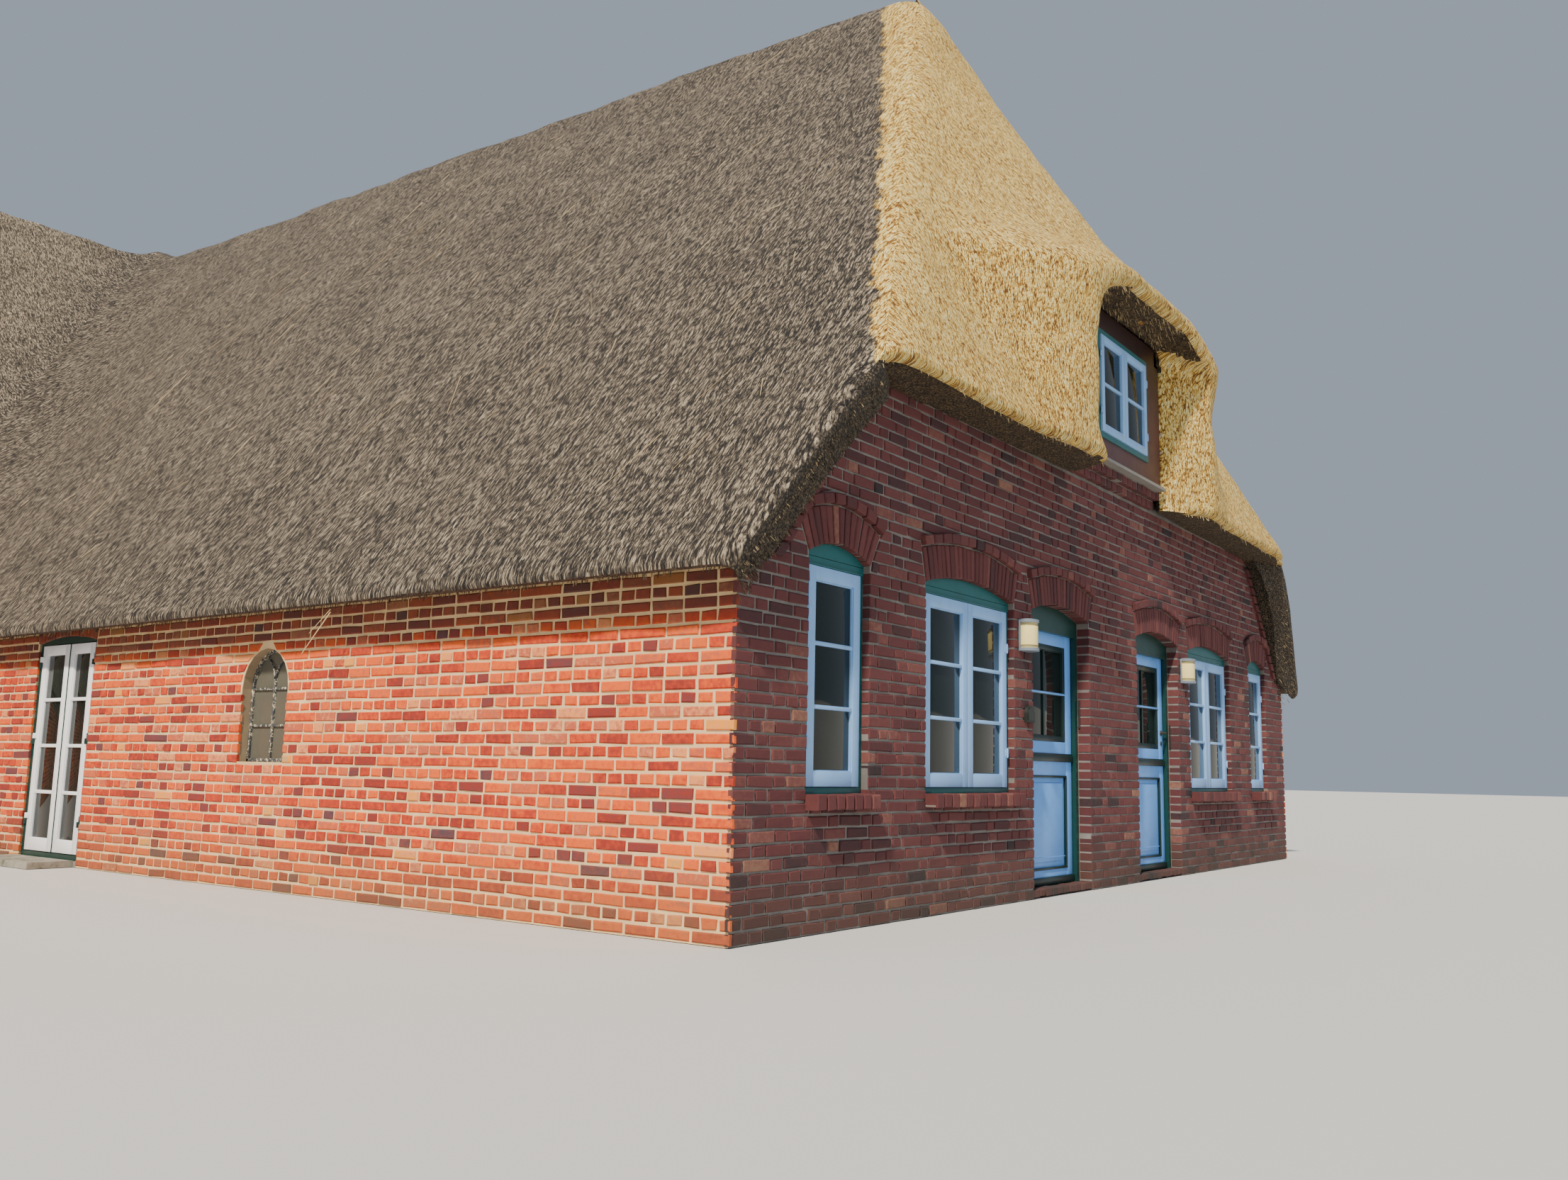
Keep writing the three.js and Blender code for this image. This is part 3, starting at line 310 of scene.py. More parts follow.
LEFT_NEAR, LEFT_FAR, LEFT_EAVE = long_slopes(-1)
RIGHT_NEAR, RIGHT_FAR, RIGHT_EAVE = long_slopes(1)
WING_FRONT, WING_FRONT_EAVE = wing_slopes(-1)
WING_BACK, WING_BACK_EAVE = wing_slopes(1)
HIP_LEFT, HIP_RIGHT = wing_hip(-1), wing_hip(1)
HIP_FRONT = plane_through(
    (-hip_corner_x, FRONT - HIP_OVERHANG, HIP_EAVE_Z), (hip_corner_x, FRONT - HIP_OVERHANG, HIP_EAVE_Z),
    (0, FRONT + HIP_RUN, hip_apex_z), (0, FRONT - HIP_OVERHANG, 30),
)
HIP_EAVE = Plane((0, 0, -1), -HIP_EAVE_Z)


def swell(points):
    """How far the front hip stands out of its plane, measured level."""
    across = np.abs(points[:, 0])
    push, full, none = (np.interp(points[:, 2], SWELL[:, 0], SWELL[:, column]) for column in (1, 2, 3))
    t = np.clip((across - full) / (none - full), 0, 1)
    return push * (1 - t * t * (3 - 2 * t))


def blend_over(a, b, reach):
    """The higher of two distances, rounded where they are within reach of each other."""
    near = np.clip(reach - np.abs(a - b), 0, None) / reach
    return np.maximum(a, b) + near ** 2 * reach / 4


def above_hip(points):
    """How far each point lies above the swollen front hip, without its neighbours."""
    return HIP_FRONT.above(points) + swell(points) * HIP_FRONT.normal[1]


def above_reed(points):
    """How far each point lies above the rounded upper surface of the whole roof."""
    left = np.maximum(LEFT_NEAR.above(points), LEFT_FAR.above(points))
    right = np.maximum(RIGHT_NEAR.above(points), RIGHT_FAR.above(points))
    main = blend_over(blend_over(left, right, HIP_ROUNDING), above_hip(points), HIP_ROUNDING)
    wing = WING_FRONT.above(points)
    for slope in (WING_BACK, HIP_LEFT, HIP_RIGHT):
        wing = blend_over(wing, slope.above(points), HIP_ROUNDING)
    # The gable wing ends at the ridge of the cross wing.
    main = main + np.clip(points[:, 1] - WING_MIDDLE, 0, None) * 2
    return -blend_over(-main, -wing, np.interp(points[:, 2], *VALLEY_SWEEP.T))


def rise_of_reed(points):
    """The direction in which the height above the roof grows, and how fast."""
    height = above_reed(points)
    step = 0.01
    slope = np.stack([(above_reed(points + axis * step) - height) / step for axis in np.eye(3)], axis=1)
    return slope / np.maximum((slope ** 2).sum(axis=1, keepdims=True), 0.25)


def unevenness(points):
    """The soft waves of hand-laid reed, in metres."""
    long_wave = [noise.noise(Vector(p) / 1.3) for p in points]
    short_wave = [noise.noise(Vector(p) / 0.3 + Vector((9, 4, 7))) for p in points]
    return 0.030 * np.array(long_wave) + 0.014 * np.array(short_wave)


def lay_on_reed(points):
    """Moves points of a sheet onto the rounded and uneven surface."""
    for _ in range(3):
        points = points - rise_of_reed(points) * above_reed(points)[:, None]
    return points + rise_of_reed(points) * unevenness(points)[:, None]


def read_points(piece):
    points = np.empty(len(piece.data.vertices) * 3)
    piece.data.vertices.foreach_get("co", points)
    return points.reshape(-1, 3)


def write_points(piece, points):
    piece.data.vertices.foreach_set("co", points.ravel())
    piece.data.update()


def take(piece):
    """Selects the piece alone."""
    bpy.ops.object.select_all(action="DESELECT")
    piece.select_set(True)
    bpy.context.view_layer.objects.active = piece


def edit(piece, operator, **settings):
    """Runs an edit operator on the whole of a piece."""
    take(piece)
    bpy.ops.object.mode_set(mode="EDIT")
    bpy.ops.mesh.select_all(action="SELECT")
    operator(**settings)
    bpy.ops.object.mode_set(mode="OBJECT")


def cut_along(piece, plane, fill=False, clear=True):
    """Cuts the piece along a plane, and drops what lies on the side of its normal."""
    at = {"plane_co": plane.normal * plane.offset, "plane_no": plane.normal}
    edit(piece, bpy.ops.mesh.bisect, **at, use_fill=fill, clear_outer=clear)


def thicken(sheet, push):
    """Makes a closed body of a sheet, from where it lies to where push takes it."""
    edit(sheet, bpy.ops.mesh.extrude_region_move, TRANSFORM_OT_translate={"value": push})
    edit(sheet, bpy.ops.mesh.normals_make_consistent, inside=False)


def add_modifier(piece, kind, **settings):
    """Adds a modifier to the piece and applies it."""
    bpy.context.view_layer.objects.active = piece
    modifier = piece.modifiers.new(kind.lower(), kind)
    for key, setting in settings.items():
        setattr(modifier, key, setting)
    bpy.ops.object.modifier_apply(modifier=modifier.name)


def reed_axes(slope):
    """Along the eave, and up the slope as the reed lies."""
    along = np.cross((0, 0, 1), slope.normal)
    along /= np.linalg.norm(along)
    return along, np.cross(slope.normal, along)


def reed_sheet(name, slope, centre, length, height, square):
    """A sheet of even squares in the plane of a slope."""
    along, up = reed_axes(slope)
    counts = {"x_subdivisions": round(length / square), "y_subdivisions": round(height / square)}
    bpy.ops.object.select_all(action="DESELECT")
    bpy.ops.mesh.primitive_grid_add(**counts, size=1)
    sheet = bpy.context.object
    sheet.name = name
    centre = np.array(centre) - slope.above(np.array([centre]))[0] * slope.normal
    stand = np.stack([along * length, up * height, slope.normal, centre], axis=1)
    sheet.data.transform(Matrix([*stand.tolist(), [0, 0, 0, 1]]))
    return sheet


def into_slope(slope, trim):
    """The direction in a trimmed face from the slope's surface into the reed."""
    inward = slope.normal - (slope.normal @ trim.normal) * trim.normal
    return inward / -np.linalg.norm(inward)


def trim_edge(piece, slope, trim, radius=0.13):
    """Cuts the reed off along a plane and rounds the outer edge of the cut."""
    cut_along(piece, trim, fill=True)
    for share in (0.12, 0.35, 0.7, 1.1):
        cut_along(piece, Plane(trim.normal, trim.offset - radius * share), clear=False)
    points = read_points(piece)
    left = np.clip(radius + trim.above(points), 0, radius)
    drop = radius - np.sqrt(radius ** 2 - left ** 2)
    outer = above_reed(points) > -0.15
    write_points(piece, points + np.outer(drop * outer, into_slope(slope, trim)))


def finish_reed(piece, slope, stands_for):
    """Gives the piece a UV map in metres, along the eave and up the slope, and its place."""
    corners = np.empty(len(piece.data.loops), int)
    piece.data.loops.foreach_get("vertex_index", corners)
    points = read_points(piece)
    flat = np.stack([points @ axis for axis in reed_axes(slope)], axis=1)[corners]
    while piece.data.uv_layers:
        piece.data.uv_layers.remove(piece.data.uv_layers[0])
    piece.data.uv_layers.new(name="reed").data.foreach_set("uv", flat.ravel())
    take(piece)
    bpy.ops.object.shade_smooth_by_angle(angle=math.radians(50))
    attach(piece, "house")
    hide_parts(stands_for)


slopes = {}


def reed_slope(name, slope, centre, length, height, cuts, trims):
    """One slope: a sheet laid on the roof's surface, thickened downwards and trimmed.

    Each trim is a plane, with the number of straws that fray out of a metre of it."""
    piece = reed_sheet(f"reed_{name}", slope, centre, length, height, REED_SQUARE)
    for cut in cuts:
        cut_along(piece, cut)
    write_points(piece, lay_on_reed(read_points(piece)))
    thicken(piece, (0, 0, -REED_DEPTH / slope.normal[2]))
    for trim, _ in trims:
        trim_edge(piece, slope, trim)
    finish_reed(piece, slope, f"thatch_{name}")
    slopes[name] = piece, slope, trims


def verge(slope, foot, corner, to_wall):
    """The slanting cut of a verge: from its outer edge in to where the reed meets the wall."""
    at_wall = np.array(foot) + to_wall - slope.normal * THATCH_DEPTH
    return plane_through(foot, corner, at_wall, np.array(foot) - to_wall)


def wing_verge(side, way, slope):
    """The verge of a long slope of the cross wing, at one end of it."""
    return verge(
        slope, (side * (WING_LENGTH_HALF + VERGE_OVERHANG), WING_MIDDLE + way * WING_EAVE_RUN, EAVE_Z),
        (side * (WING_LENGTH_HALF + HIP_OVERHANG), WING_MIDDLE + way * wing_corner_run, HIP_EAVE_Z),
        np.array((-side * VERGE_OVERHANG, 0, 0)),
    )


for name, near, far, eave in (
    ("left", LEFT_NEAR, LEFT_FAR, LEFT_EAVE), ("right", RIGHT_NEAR, RIGHT_FAR, RIGHT_EAVE),
):
    side = SIDES[name]
    front_verge = verge(
        near, (side * EAVE_X, FRONT - VERGE_OVERHANG, EAVE_Z),
        (side * hip_corner_x, FRONT - HIP_OVERHANG, HIP_EAVE_Z), np.array((0, VERGE_OVERHANG, 0)),
    )
    cuts = [Plane((-side, 0, 0), 0), mitre(near, HIP_FRONT), mitre(far, WING_FRONT).opposite()]
    trims = list(zip((eave, front_verge), MAIN_STRAWS[name]))
    reed_slope(name, near, (side * 2.9, FRONT + 7.6, 5.2), 19.0, 10.6, cuts, trims)
for name, far, hip in (("left", LEFT_FAR, HIP_LEFT), ("right", RIGHT_FAR, HIP_RIGHT)):
    side = SIDES[name]
    cuts = [
        Plane((0, 1, 0), WING_MIDDLE), mitre(WING_FRONT, hip), mitre(WING_FRONT, far).opposite(),
        Plane((-side, 0, 0), 0),
    ]
    trims = [(WING_FRONT_EAVE, EAVE_STRAWS), (wing_verge(side, -1, WING_FRONT), VERGE_STRAWS)]
    centre = (side * 6.0, WING_MIDDLE - 2.9, 5.3)
    reed_slope(f"wing_front_{name}", WING_FRONT, centre, 12.6, 10.6, cuts, trims)
cuts = [Plane((0, -1, 0), -WING_MIDDLE), mitre(WING_BACK, HIP_LEFT), mitre(WING_BACK, HIP_RIGHT)]
trims = [(wing_verge(side, 1, WING_BACK), VERGE_STRAWS) for side in (-1, 1)]
trims = [(WING_BACK_EAVE, EAVE_STRAWS), *trims]
reed_slope("wing_back", WING_BACK, (0, WING_MIDDLE + 2.9, 5.3), 24.8, 10.6, cuts, trims)
for name, hip in (("left", HIP_LEFT), ("right", HIP_RIGHT)):
    cuts = [mitre(hip, WING_FRONT), mitre(hip, WING_BACK)]
    centre = (SIDES[name] * 10.8, WING_MIDDLE, 6.0)
    reed_slope(f"wing_hip_{name}", hip, centre, 10.6, 8.4, cuts, [(HIP_EAVE, EAVE_STRAWS)])

# Front hip of new golden reed. Its surface swells into a hood, and the mouth of the hood is
# a flare cut back to the boards of the dormer, with a lip rounded by hand.
MOUTH_DEPTH = 0.50
THROAT_DEPTH = 0.125
FLARE_DEPTH = 0.85
THROAT_HALF = 0.905
THROAT_TOP = 4.745
MOUTH = [
    (1.50, 3.20), (1.48, 4.10), (1.40, 4.36), (1.26, 4.54), (1.04, 4.66), (.69, 4.76), (.30, 4.83),
    (-.30, 4.83), (-.69, 4.76), (-1.00, 4.66), (-1.17, 4.54), (-1.29, 4.36), (-1.37, 4.10),
    (-1.37, 3.80), (-1.22, 3.56), (-.85, 3.27), (-.83, 3.20),
]
THROAT = [
    (THROAT_HALF, 3.2), (THROAT_HALF, 4.6), (.81, 4.755),
    (-.81, 4.755), (-THROAT_HALF, 4.6), (-THROAT_HALF, 3.2),
]


def add_mesh(name, points, faces, *materials):
    """An object with a mesh of the given points and faces."""
    mesh = bpy.data.meshes.new(name)
    mesh.from_pydata(np.asarray(points).tolist(), [], faces)
    for material in materials:
        mesh.materials.append(material)
    return add_object(name, mesh)


def cut_out(piece, name, points):
    """Takes the convex body round some points out of the piece."""
    tool = add_mesh(name, points, [])
    edit(tool, bpy.ops.mesh.convex_hull)
    add_modifier(piece, "BOOLEAN", operation="DIFFERENCE", object=tool, solver="EXACT")
    bpy.data.objects.remove(tool)


def widened(x, z):
    """A point of the mouth carried on along its flare, out through the hood."""
    reach = (FLARE_DEPTH - THROAT_DEPTH) / (MOUTH_DEPTH - THROAT_DEPTH)
    from_x = math.copysign(min(abs(x), THROAT_HALF), x)
    from_z = min(z, THROAT_TOP)
    return from_x + (x - from_x) * reach, from_z + (z - from_z) * reach


reed_hip = reed_sheet("reed_hip", HIP_FRONT, (0, FRONT + 0.7, 5.9), 12.6, 7.6, 0.08)
points = read_points(reed_hip)
points[:, 1] -= swell(points)
write_points(reed_hip, points)
thicken(reed_hip, (0, 0.42, -0.12))
flare = [(x, FRONT - FLARE_DEPTH, z) for x, z in (widened(*p) for p in MOUTH)]
throat = [(x, FRONT - THROAT_DEPTH, z) for x, z in THROAT]
back = [(x, FRONT + 1.6, z) for x, z in THROAT]
cut_out(reed_hip, "flare", flare + throat)
cut_out(reed_hip, "throat", throat + back)
add_modifier(reed_hip, "REMESH", mode="VOXEL", voxel_size=0.045)
add_modifier(reed_hip, "SMOOTH", factor=0.5, iterations=4)
for slope in (LEFT_NEAR, RIGHT_NEAR):
    cut_along(reed_hip, mitre(HIP_FRONT, slope), fill=True)
trim_edge(reed_hip, HIP_FRONT, HIP_EAVE, radius=0.08)
points = read_points(reed_hip)
rounding = above_reed(points) - above_hip(points)
shift = unevenness(points) - np.clip(rounding, 0, HIP_ROUNDING / 4)
write_points(reed_hip, points + rise_of_reed(points) * shift[:, None])
finish_reed(reed_hip, HIP_FRONT, "thatch_hip")
slopes["hip"] = reed_hip, HIP_FRONT, []

# Reed finish: each reed is a pale straw with a dark gap of painted shade beside it. Old reed has
# gone grey and brown, with some bleached straws, and new reed is golden, with painted shade deep
# in the hood. Cut ends and undersides are dark, partly their own colour and partly painted shade.
OLD_TONES = [
    (0.12, (0.008, 0.006, 0.005)), (0.34, (0.052, 0.041, 0.029)),
    (0.58, (0.160, 0.126, 0.090)), (0.90, (0.480, 0.390, 0.275)),
]
WING_TONES = [
    (0.12, (0.045, 0.035, 0.023)), (0.34, (0.150, 0.118, 0.078)),
    (0.58, (0.340, 0.270, 0.182)), (0.90, (0.700, 0.570, 0.390)),
]
NEW_TONES = [
    (0.08, (0.170, 0.064, 0.008)), (0.28, (0.640, 0.345, 0.055)),
    (0.54, (0.990, 0.680, 0.155)), (0.88, (1.000, 0.920, 0.470)),
]
# Painted shade: the new reed turns to these dark tones deep in the flare of the hood.
HOOD_SHADE_TONES = [
    (0.08, (0.012, 0.006, 0.003)), (0.28, (0.060, 0.032, 0.011)),
    (0.54, (0.160, 0.098, 0.036)), (0.88, (0.340, 0.230, 0.100)),
]
OLD_END_TONES = [
    (0.20, (0.008, 0.006, 0.004)), (0.45, (0.034, 0.026, 0.017)),
    (0.65, (0.105, 0.078, 0.048)), (0.90, (0.300, 0.225, 0.135)),
]
# The new reed's cut ends: their own darker brown, deepened with painted shade.
NEW_END_AND_SHADE_TONES = [
    (0.20, (0.008, 0.005, 0.003)), (0.45, (0.038, 0.023, 0.010)),
    (0.65, (0.110, 0.068, 0.028)), (0.90, (0.300, 0.195, 0.085)),
]
NEW_EDGE_Y = FRONT - 0.30
NEW_EDGE_X = -4.28
NEW_EDGE_SLANT = 0.6085
VALLEY = mitre(WING_FRONT, LEFT_FAR).opposite()


def reed_finish(name, old_tones, second_tones, second_share, along=17):
    """How far the second tones show: newer or paler reed, or painted shade; along: how short the reeds are.
    """
    finish = Finish(name)
    reed_map = finish.node("ShaderNodeTexCoord")["UV"]
    wander = finish.grain(0.30, 2, 0.5) - 0.5

    def stalks(across, along):
        """A place on the reed map, with so many reeds to a metre."""
        at = finish.axes(reed_map)
        inputs = {"X": (at["X"] + wander * 0.06) * across, "Y": at["Y"] * along, "Z": 0.0}
        return finish.node("ShaderNodeCombineXYZ", inputs)["Vector"]

    fine = finish.grain(1, 2, 0.7, stalks(150, along * 1.6))
    cells = finish.node("ShaderNodeTexVoronoi", {"Vector": stalks(98, along), "Scale": 1.0})
    clumps = finish.grain(1, 3, 0.6, stalks(24, 8))
    patches = finish.grain(0.8, 4, 0.6)
    # A product is a single number, so each reed's colour becomes its own tone.
    own = cells["Color"] * 1.0
    # Painted shade: the gap beside each reed darkens its colour, and sinks it in the bumps.
    gap = cells["Distance"].between(0.30, 0.75)
    straw = (fine - 0.5) * 1.9 + own * 0.80 + gap * -0.42 + (clumps - 0.5) * 0.22 + 0.24
    old = finish.colours(straw + (patches - 0.5) * 0.30, old_tones)
    old = finish.mix(own.between(0.90, 0.92) * 0.8, old, (0.56, 0.46, 0.32))
    new = finish.colours(straw + (patches - 0.5) * 0.20, second_tones)
    return finish.made(finish.mix(second_share(finish), old, new), 0.86, straw, 0.016, 0.9)


def by_the_hip(finish):
    """The new reed runs a little way round onto the left slope beside the hip."""
    at = finish.axes()
    edge = (at["X"] - NEW_EDGE_X) * NEW_EDGE_SLANT + NEW_EDGE_Y
    inside = edge - at["Y"] + (finish.grain(0.22, 3, 0.7) - 0.5) * 0.30
    return inside.between(-0.03, 0.03)


def far_from_valley(finish):
    """The wing's sunny reed is paler, up to where it runs into the damp valley."""
    at = finish.axes()
    level = VALLEY.normal[0] * at["X"] + VALLEY.normal[1] * at["Y"] + VALLEY.normal[2] * at["Z"]
    inside = VALLEY.offset - level + (finish.grain(0.5, 3, 0.6) - 0.5) * 0.8
    return inside.between(0.0, 1.1)


def painted_hood_shade(finish):
    """Painted shade in the hood's flare: the reed grows darker and browner the deeper it goes."""
    at = finish.axes()
    level = at["Y"] * HIP_FRONT.normal[1] + at["Z"] * HIP_FRONT.normal[2]
    ragged = (finish.grain(0.06, 3, 0.7) - 0.5) * 0.12
    deep = (HIP_FRONT.offset - level + ragged).between(0.07, 0.30)
    beside = (at["X"].math("ABSOLUTE") + ragged).between(1.34, 1.12)
    return deep * (at["Z"] + ragged).between(3.50, 4.30) * beside


def reed_end_finish(name, tones):
    """The cut ends of the reeds, as small round dots with dark gaps of painted shade."""
    finish = Finish(name)
    dots = finish.node("ShaderNodeTexVoronoi", {"Vector": finish.place(), "Scale": 62.0})
    tone = finish.grain(0.05, 3, 0.7) * 0.6 + dots["Distance"] * -0.7 + 0.55
    return finish.made(finish.colours(tone, tones), 0.9, tone, 0.03, 0.9)


old_reed = reed_finish("old_reed", OLD_TONES, NEW_TONES, lambda finish: 0.0)
surfaces = {
    "left": reed_finish("left_reed", OLD_TONES, NEW_TONES, by_the_hip),
    "wing_front_left": reed_finish("wing_reed", OLD_TONES, WING_TONES, far_from_valley),
    # The hip's second tones are painted shade deep in the hood.
    "hip": reed_finish("new_reed", NEW_TONES, HOOD_SHADE_TONES, painted_hood_shade, 30),
}
old_ends = reed_end_finish("old_reed_ends", OLD_END_TONES)
new_ends_and_shade = reed_end_finish("new_reed_ends_and_shade", NEW_END_AND_SHADE_TONES)
# The outer side gets the reed, and what is turned away from it the cut ends; on the hip
# these darker ends are partly painted shade under the hood.
for name, (piece, slope, _) in slopes.items():
    ends, least = (new_ends_and_shade, -0.15) if name == "hip" else (old_ends, 0.3)
    piece.data.materials.clear()
    piece.data.materials.append(surfaces.get(name, old_reed))
    piece.data.materials.append(ends)
    for face in piece.data.polygons:
        face.material_index = 0 if np.dot(face.normal, slope.normal) > least else 1

# Loose straws: bleached reeds that have slipped down the old slopes, two that hang from the
# left eave, and the frayed reed ends along the eaves, the verges and the lip of the hood.
STRAW_TONES = [
    (0.0, (0.020, 0.015, 0.010)), (0.35, (0.120, 0.088, 0.052)),
    (0.7, (0.360, 0.270, 0.150)), (1.0, (0.720, 0.560, 0.300)),
]
STRAYS = [
    (LEFT_NEAR, 120, (-5.0, FRONT + 0.2), (-0.5, FRONT + 11)),
    (RIGHT_NEAR, 60, (0.5, FRONT + 0.2), (5.0, FRONT + 11)),
    (WING_FRONT, 45, (-11.2, FRONT + 11.2), (-4.9, FRONT + 15.5)),
    (WING_FRONT, 30, (4.9, FRONT + 11.2), (11.2, FRONT + 15.5)),
    (WING_BACK, 80, (-11.0, WING_MIDDLE + 0.8), (11.0, WING_MIDDLE + 5.3)),
]
HOOD_STRAWS = 5000
STRAW_THICKNESS = 0.006


def straw_finish():
    """Straw in its own tone, streaked."""
    finish = Finish("loose_straw")
    own = finish.node("ShaderNodeAttribute", attribute_name="tone")["Fac"]
    tone = own + (finish.grain(0.012, 3, 0.6) - 0.5) * 0.3
    return finish.made(finish.colours(tone, STRAW_TONES), 0.7)


def unit(rows):
    return rows / np.linalg.norm(rows, axis=-1, keepdims=True)


def some_tone(middle, spread, count=None):
    """Random tones round a middle one."""
    return np.clip(random.normal(middle, spread, count), 0, 1)


def toned_piece(name, material, points, faces, tones):
    """One piece of many like blocks, each with the same faces and with a tone of its own."""
    count, corners = points.shape[:2]
    every = (np.array(faces)[None] + corners * np.arange(count)[:, None, None]).reshape(-1, 4)
    piece = add_mesh(name, points.reshape(-1, 3), every.tolist(), material)
    layer = piece.data.attributes.new("tone", "FLOAT", "FACE")
    layer.data.foreach_set("value", np.repeat(tones, len(faces)))
    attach(piece, "house")


def build_straws(name, starts, ends, tones, thickness=STRAW_THICKNESS):
    """Each straw is a closed four-sided rod that tapers to its end."""
    side = unit(np.cross(ends - starts, (0.3, 0.2, 1.0)))
    other = unit(np.cross(ends - starts, side))
    half = np.full(len(starts), thickness)[:, None] / 2
    ring = [side, other, -side, -other]
    corners = [starts + turn * half for turn in ring] + [ends + turn * half * 0.6 for turn in ring]
    rod = [(3, 2, 1, 0), (4, 5, 6, 7)] + [(k, (k + 1) % 4, (k + 1) % 4 + 4, k + 4) for k in range(4)]
    toned_piece(name, loose_straw, np.stack(corners, axis=1), rod, tones)


loose_straw = straw_finish()
starts, ends = [], []
for slope, count, low, high in STRAYS:
    _, up = reed_axes(slope)
    level = random.uniform(low, high, (count, 2))
    middles = np.column_stack([level, (slope.offset - level @ slope.normal[:2]) / slope.normal[2]])
    is_long = random.random(count) < 0.3
    lengths = np.where(is_long, random.uniform(0.30, 0.75, count), random.uniform(0.08, 0.24, count))
    turns = random.normal(0, 0.32, (count, 1))
    lie = up * np.cos(turns) + np.cross(slope.normal, up) * np.sin(turns)
    lift = slope.normal * random.uniform(0.004, 0.028, (count, 1))
    starts.append(lay_on_reed(middles + lie * lengths[:, None] / 2) + slope.normal * 0.002)
    ends.append(lay_on_reed(middles - lie * lengths[:, None] / 2) + lift)
starts.append([(-5.30, FRONT + 3.20, 1.84), (-5.33, FRONT + 3.16, 1.85)])
ends.append([(-5.33, FRONT + 3.44, 1.575), (-5.36, FRONT + 3.33, 1.70)])
starts, ends = np.concatenate(starts), np.concatenate(ends)
tones = some_tone(0.82, 0.13, len(starts))
tones[-2:] = 0.95
build_straws("loose_straws", starts, ends, tones, random.uniform(0.005, 0.009, len(starts)))


def fringe(piece, slope, trim, each_metre):
    """Straws that stick out of the cut face of an eave or a verge, most near its outer rim."""
    points = read_points(piece)
    rim = points[(np.abs(trim.above(points)) < 0.002) & (above_reed(points) > -0.17)]
    line = np.cross(slope.normal, trim.normal)
    rim = rim[np.argsort(rim @ line)]
    run = rim @ line
    count = int((run[-1] - run[0]) * each_metre)
    spots = random.uniform(run[0] + 0.02, run[-1] - 0.02, count)
    base = np.column_stack([np.interp(spots, run, rim[:, axis]) for axis in range(3)])
    depth = random.random((count, 1)) ** 1.5 * 0.27 + 0.002
    base += into_slope(slope, trim) * depth - trim.normal * 0.01
    _, up = reed_axes(slope)
    lie = unit(trim.normal * 0.8 - up * 0.7 + random.normal(0, 0.16, (count, 3)))
    return base, base + lie * random.uniform(0.018, 0.048, (count, 1))


tufts = [
    fringe(piece, slope, trim, each_metre)
    for piece, slope, trims in slopes.values() for trim, each_metre in trims
]
starts, ends = (np.concatenate(part) for part in zip(*tufts))
build_straws("reed_fringe", starts, ends, some_tone(0.34, 0.18, len(starts)))

# The lip of the hood is golden, and frays all round where the reed turns under.
turned = [
    face for face in slopes["hip"][0].data.polygons
    if -0.30 < np.dot(face.normal, HIP_FRONT.normal) < 0.25 and face.center.z < 4.95
]
places = random.choice(len(turned), min(len(turned), HOOD_STRAWS))
starts = np.array([turned[place].center for place in places]) + random.normal(0, 0.012, (len(places), 3))
outward = np.array([turned[place].normal for place in places])
lie = unit(outward * 0.35 + np.array((0, -0.25, -0.9)) + random.normal(0, 0.18, outward.shape))
starts -= outward * 0.012
ends = starts + lie * random.uniform(0.025, 0.055, (len(places), 1))
build_straws("hood_fringe", starts, ends, some_tone(0.80, 0.16, len(starts)))

# Brick walls: hand-made bricks laid in lime mortar on the solid walls, one course at a time.
# The front is plum and red, the sides orange with odd purple, ochre and pale bricks. Each
# head is an arch of upright bricks, under a course of headers that stands out as a drip.
COURSE = 0.071
FRONT_JOINT = 0.014
SIDE_JOINT = 0.018
HEADER = 0.102
BRICK_PROUD = 0.009
BRICK_DEPTH = 0.015
BRICK_CHAMFER = 0.005
ARCH_BAND = 0.215
DRIP_BAND = 0.062
MAIN_HALF = 5.11
MAIN_LENGTH = 11.15
WALL_TOP = 1.97


class Opening:
    """A hole in a wall: its sides, its foot, where its head springs, and the head's rise."""

    def __init__(self, left, right, foot, spring, rise, depth, drip=False, band=ARCH_BAND):
        self.left, self.right, self.foot, self.spring = left, right, foot, spring
        self.depth, self.drip, self.band = depth, drip, band
        self.middle = (left + right) / 2
        half = (right - left) / 2
        self.radius = (half ** 2 + rise ** 2) / (2 * rise)
        self.centre = spring + rise - self.radius
        self.spread = math.asin(min(half / self.radius, 1.0))
        self.outer = self.radius + band + (DRIP_BAND + 0.012 if drip else 0)
        self.top = self.centre + self.outer

    def half_width(self, height):
        """Half the width that bricks in a course keep clear of, or nothing."""
        if height <= self.spring:
            return (self.right - self.left) / 2
        rise = height - self.centre
        if rise >= self.outer:
            return 0.0
        reach = math.sqrt(self.outer ** 2 - rise ** 2)
        return min(rise * math.tan(min(self.spread, 1.35)), reach) if self.band else reach


class Face:
    """A face of a wall: places are given along it, up it and out of it."""

    def __init__(self, origin, out):
        self.origin = np.array(origin, float)
        self.frame = np.stack([np.cross((0, 0, 1), out), (0, 0, 1), out])

    def placed(self, points):
        return self.origin + points @ self.frame


def oblong(left, right, low, high):
    return [(left, low), (right, low), (right, high), (left, high)]


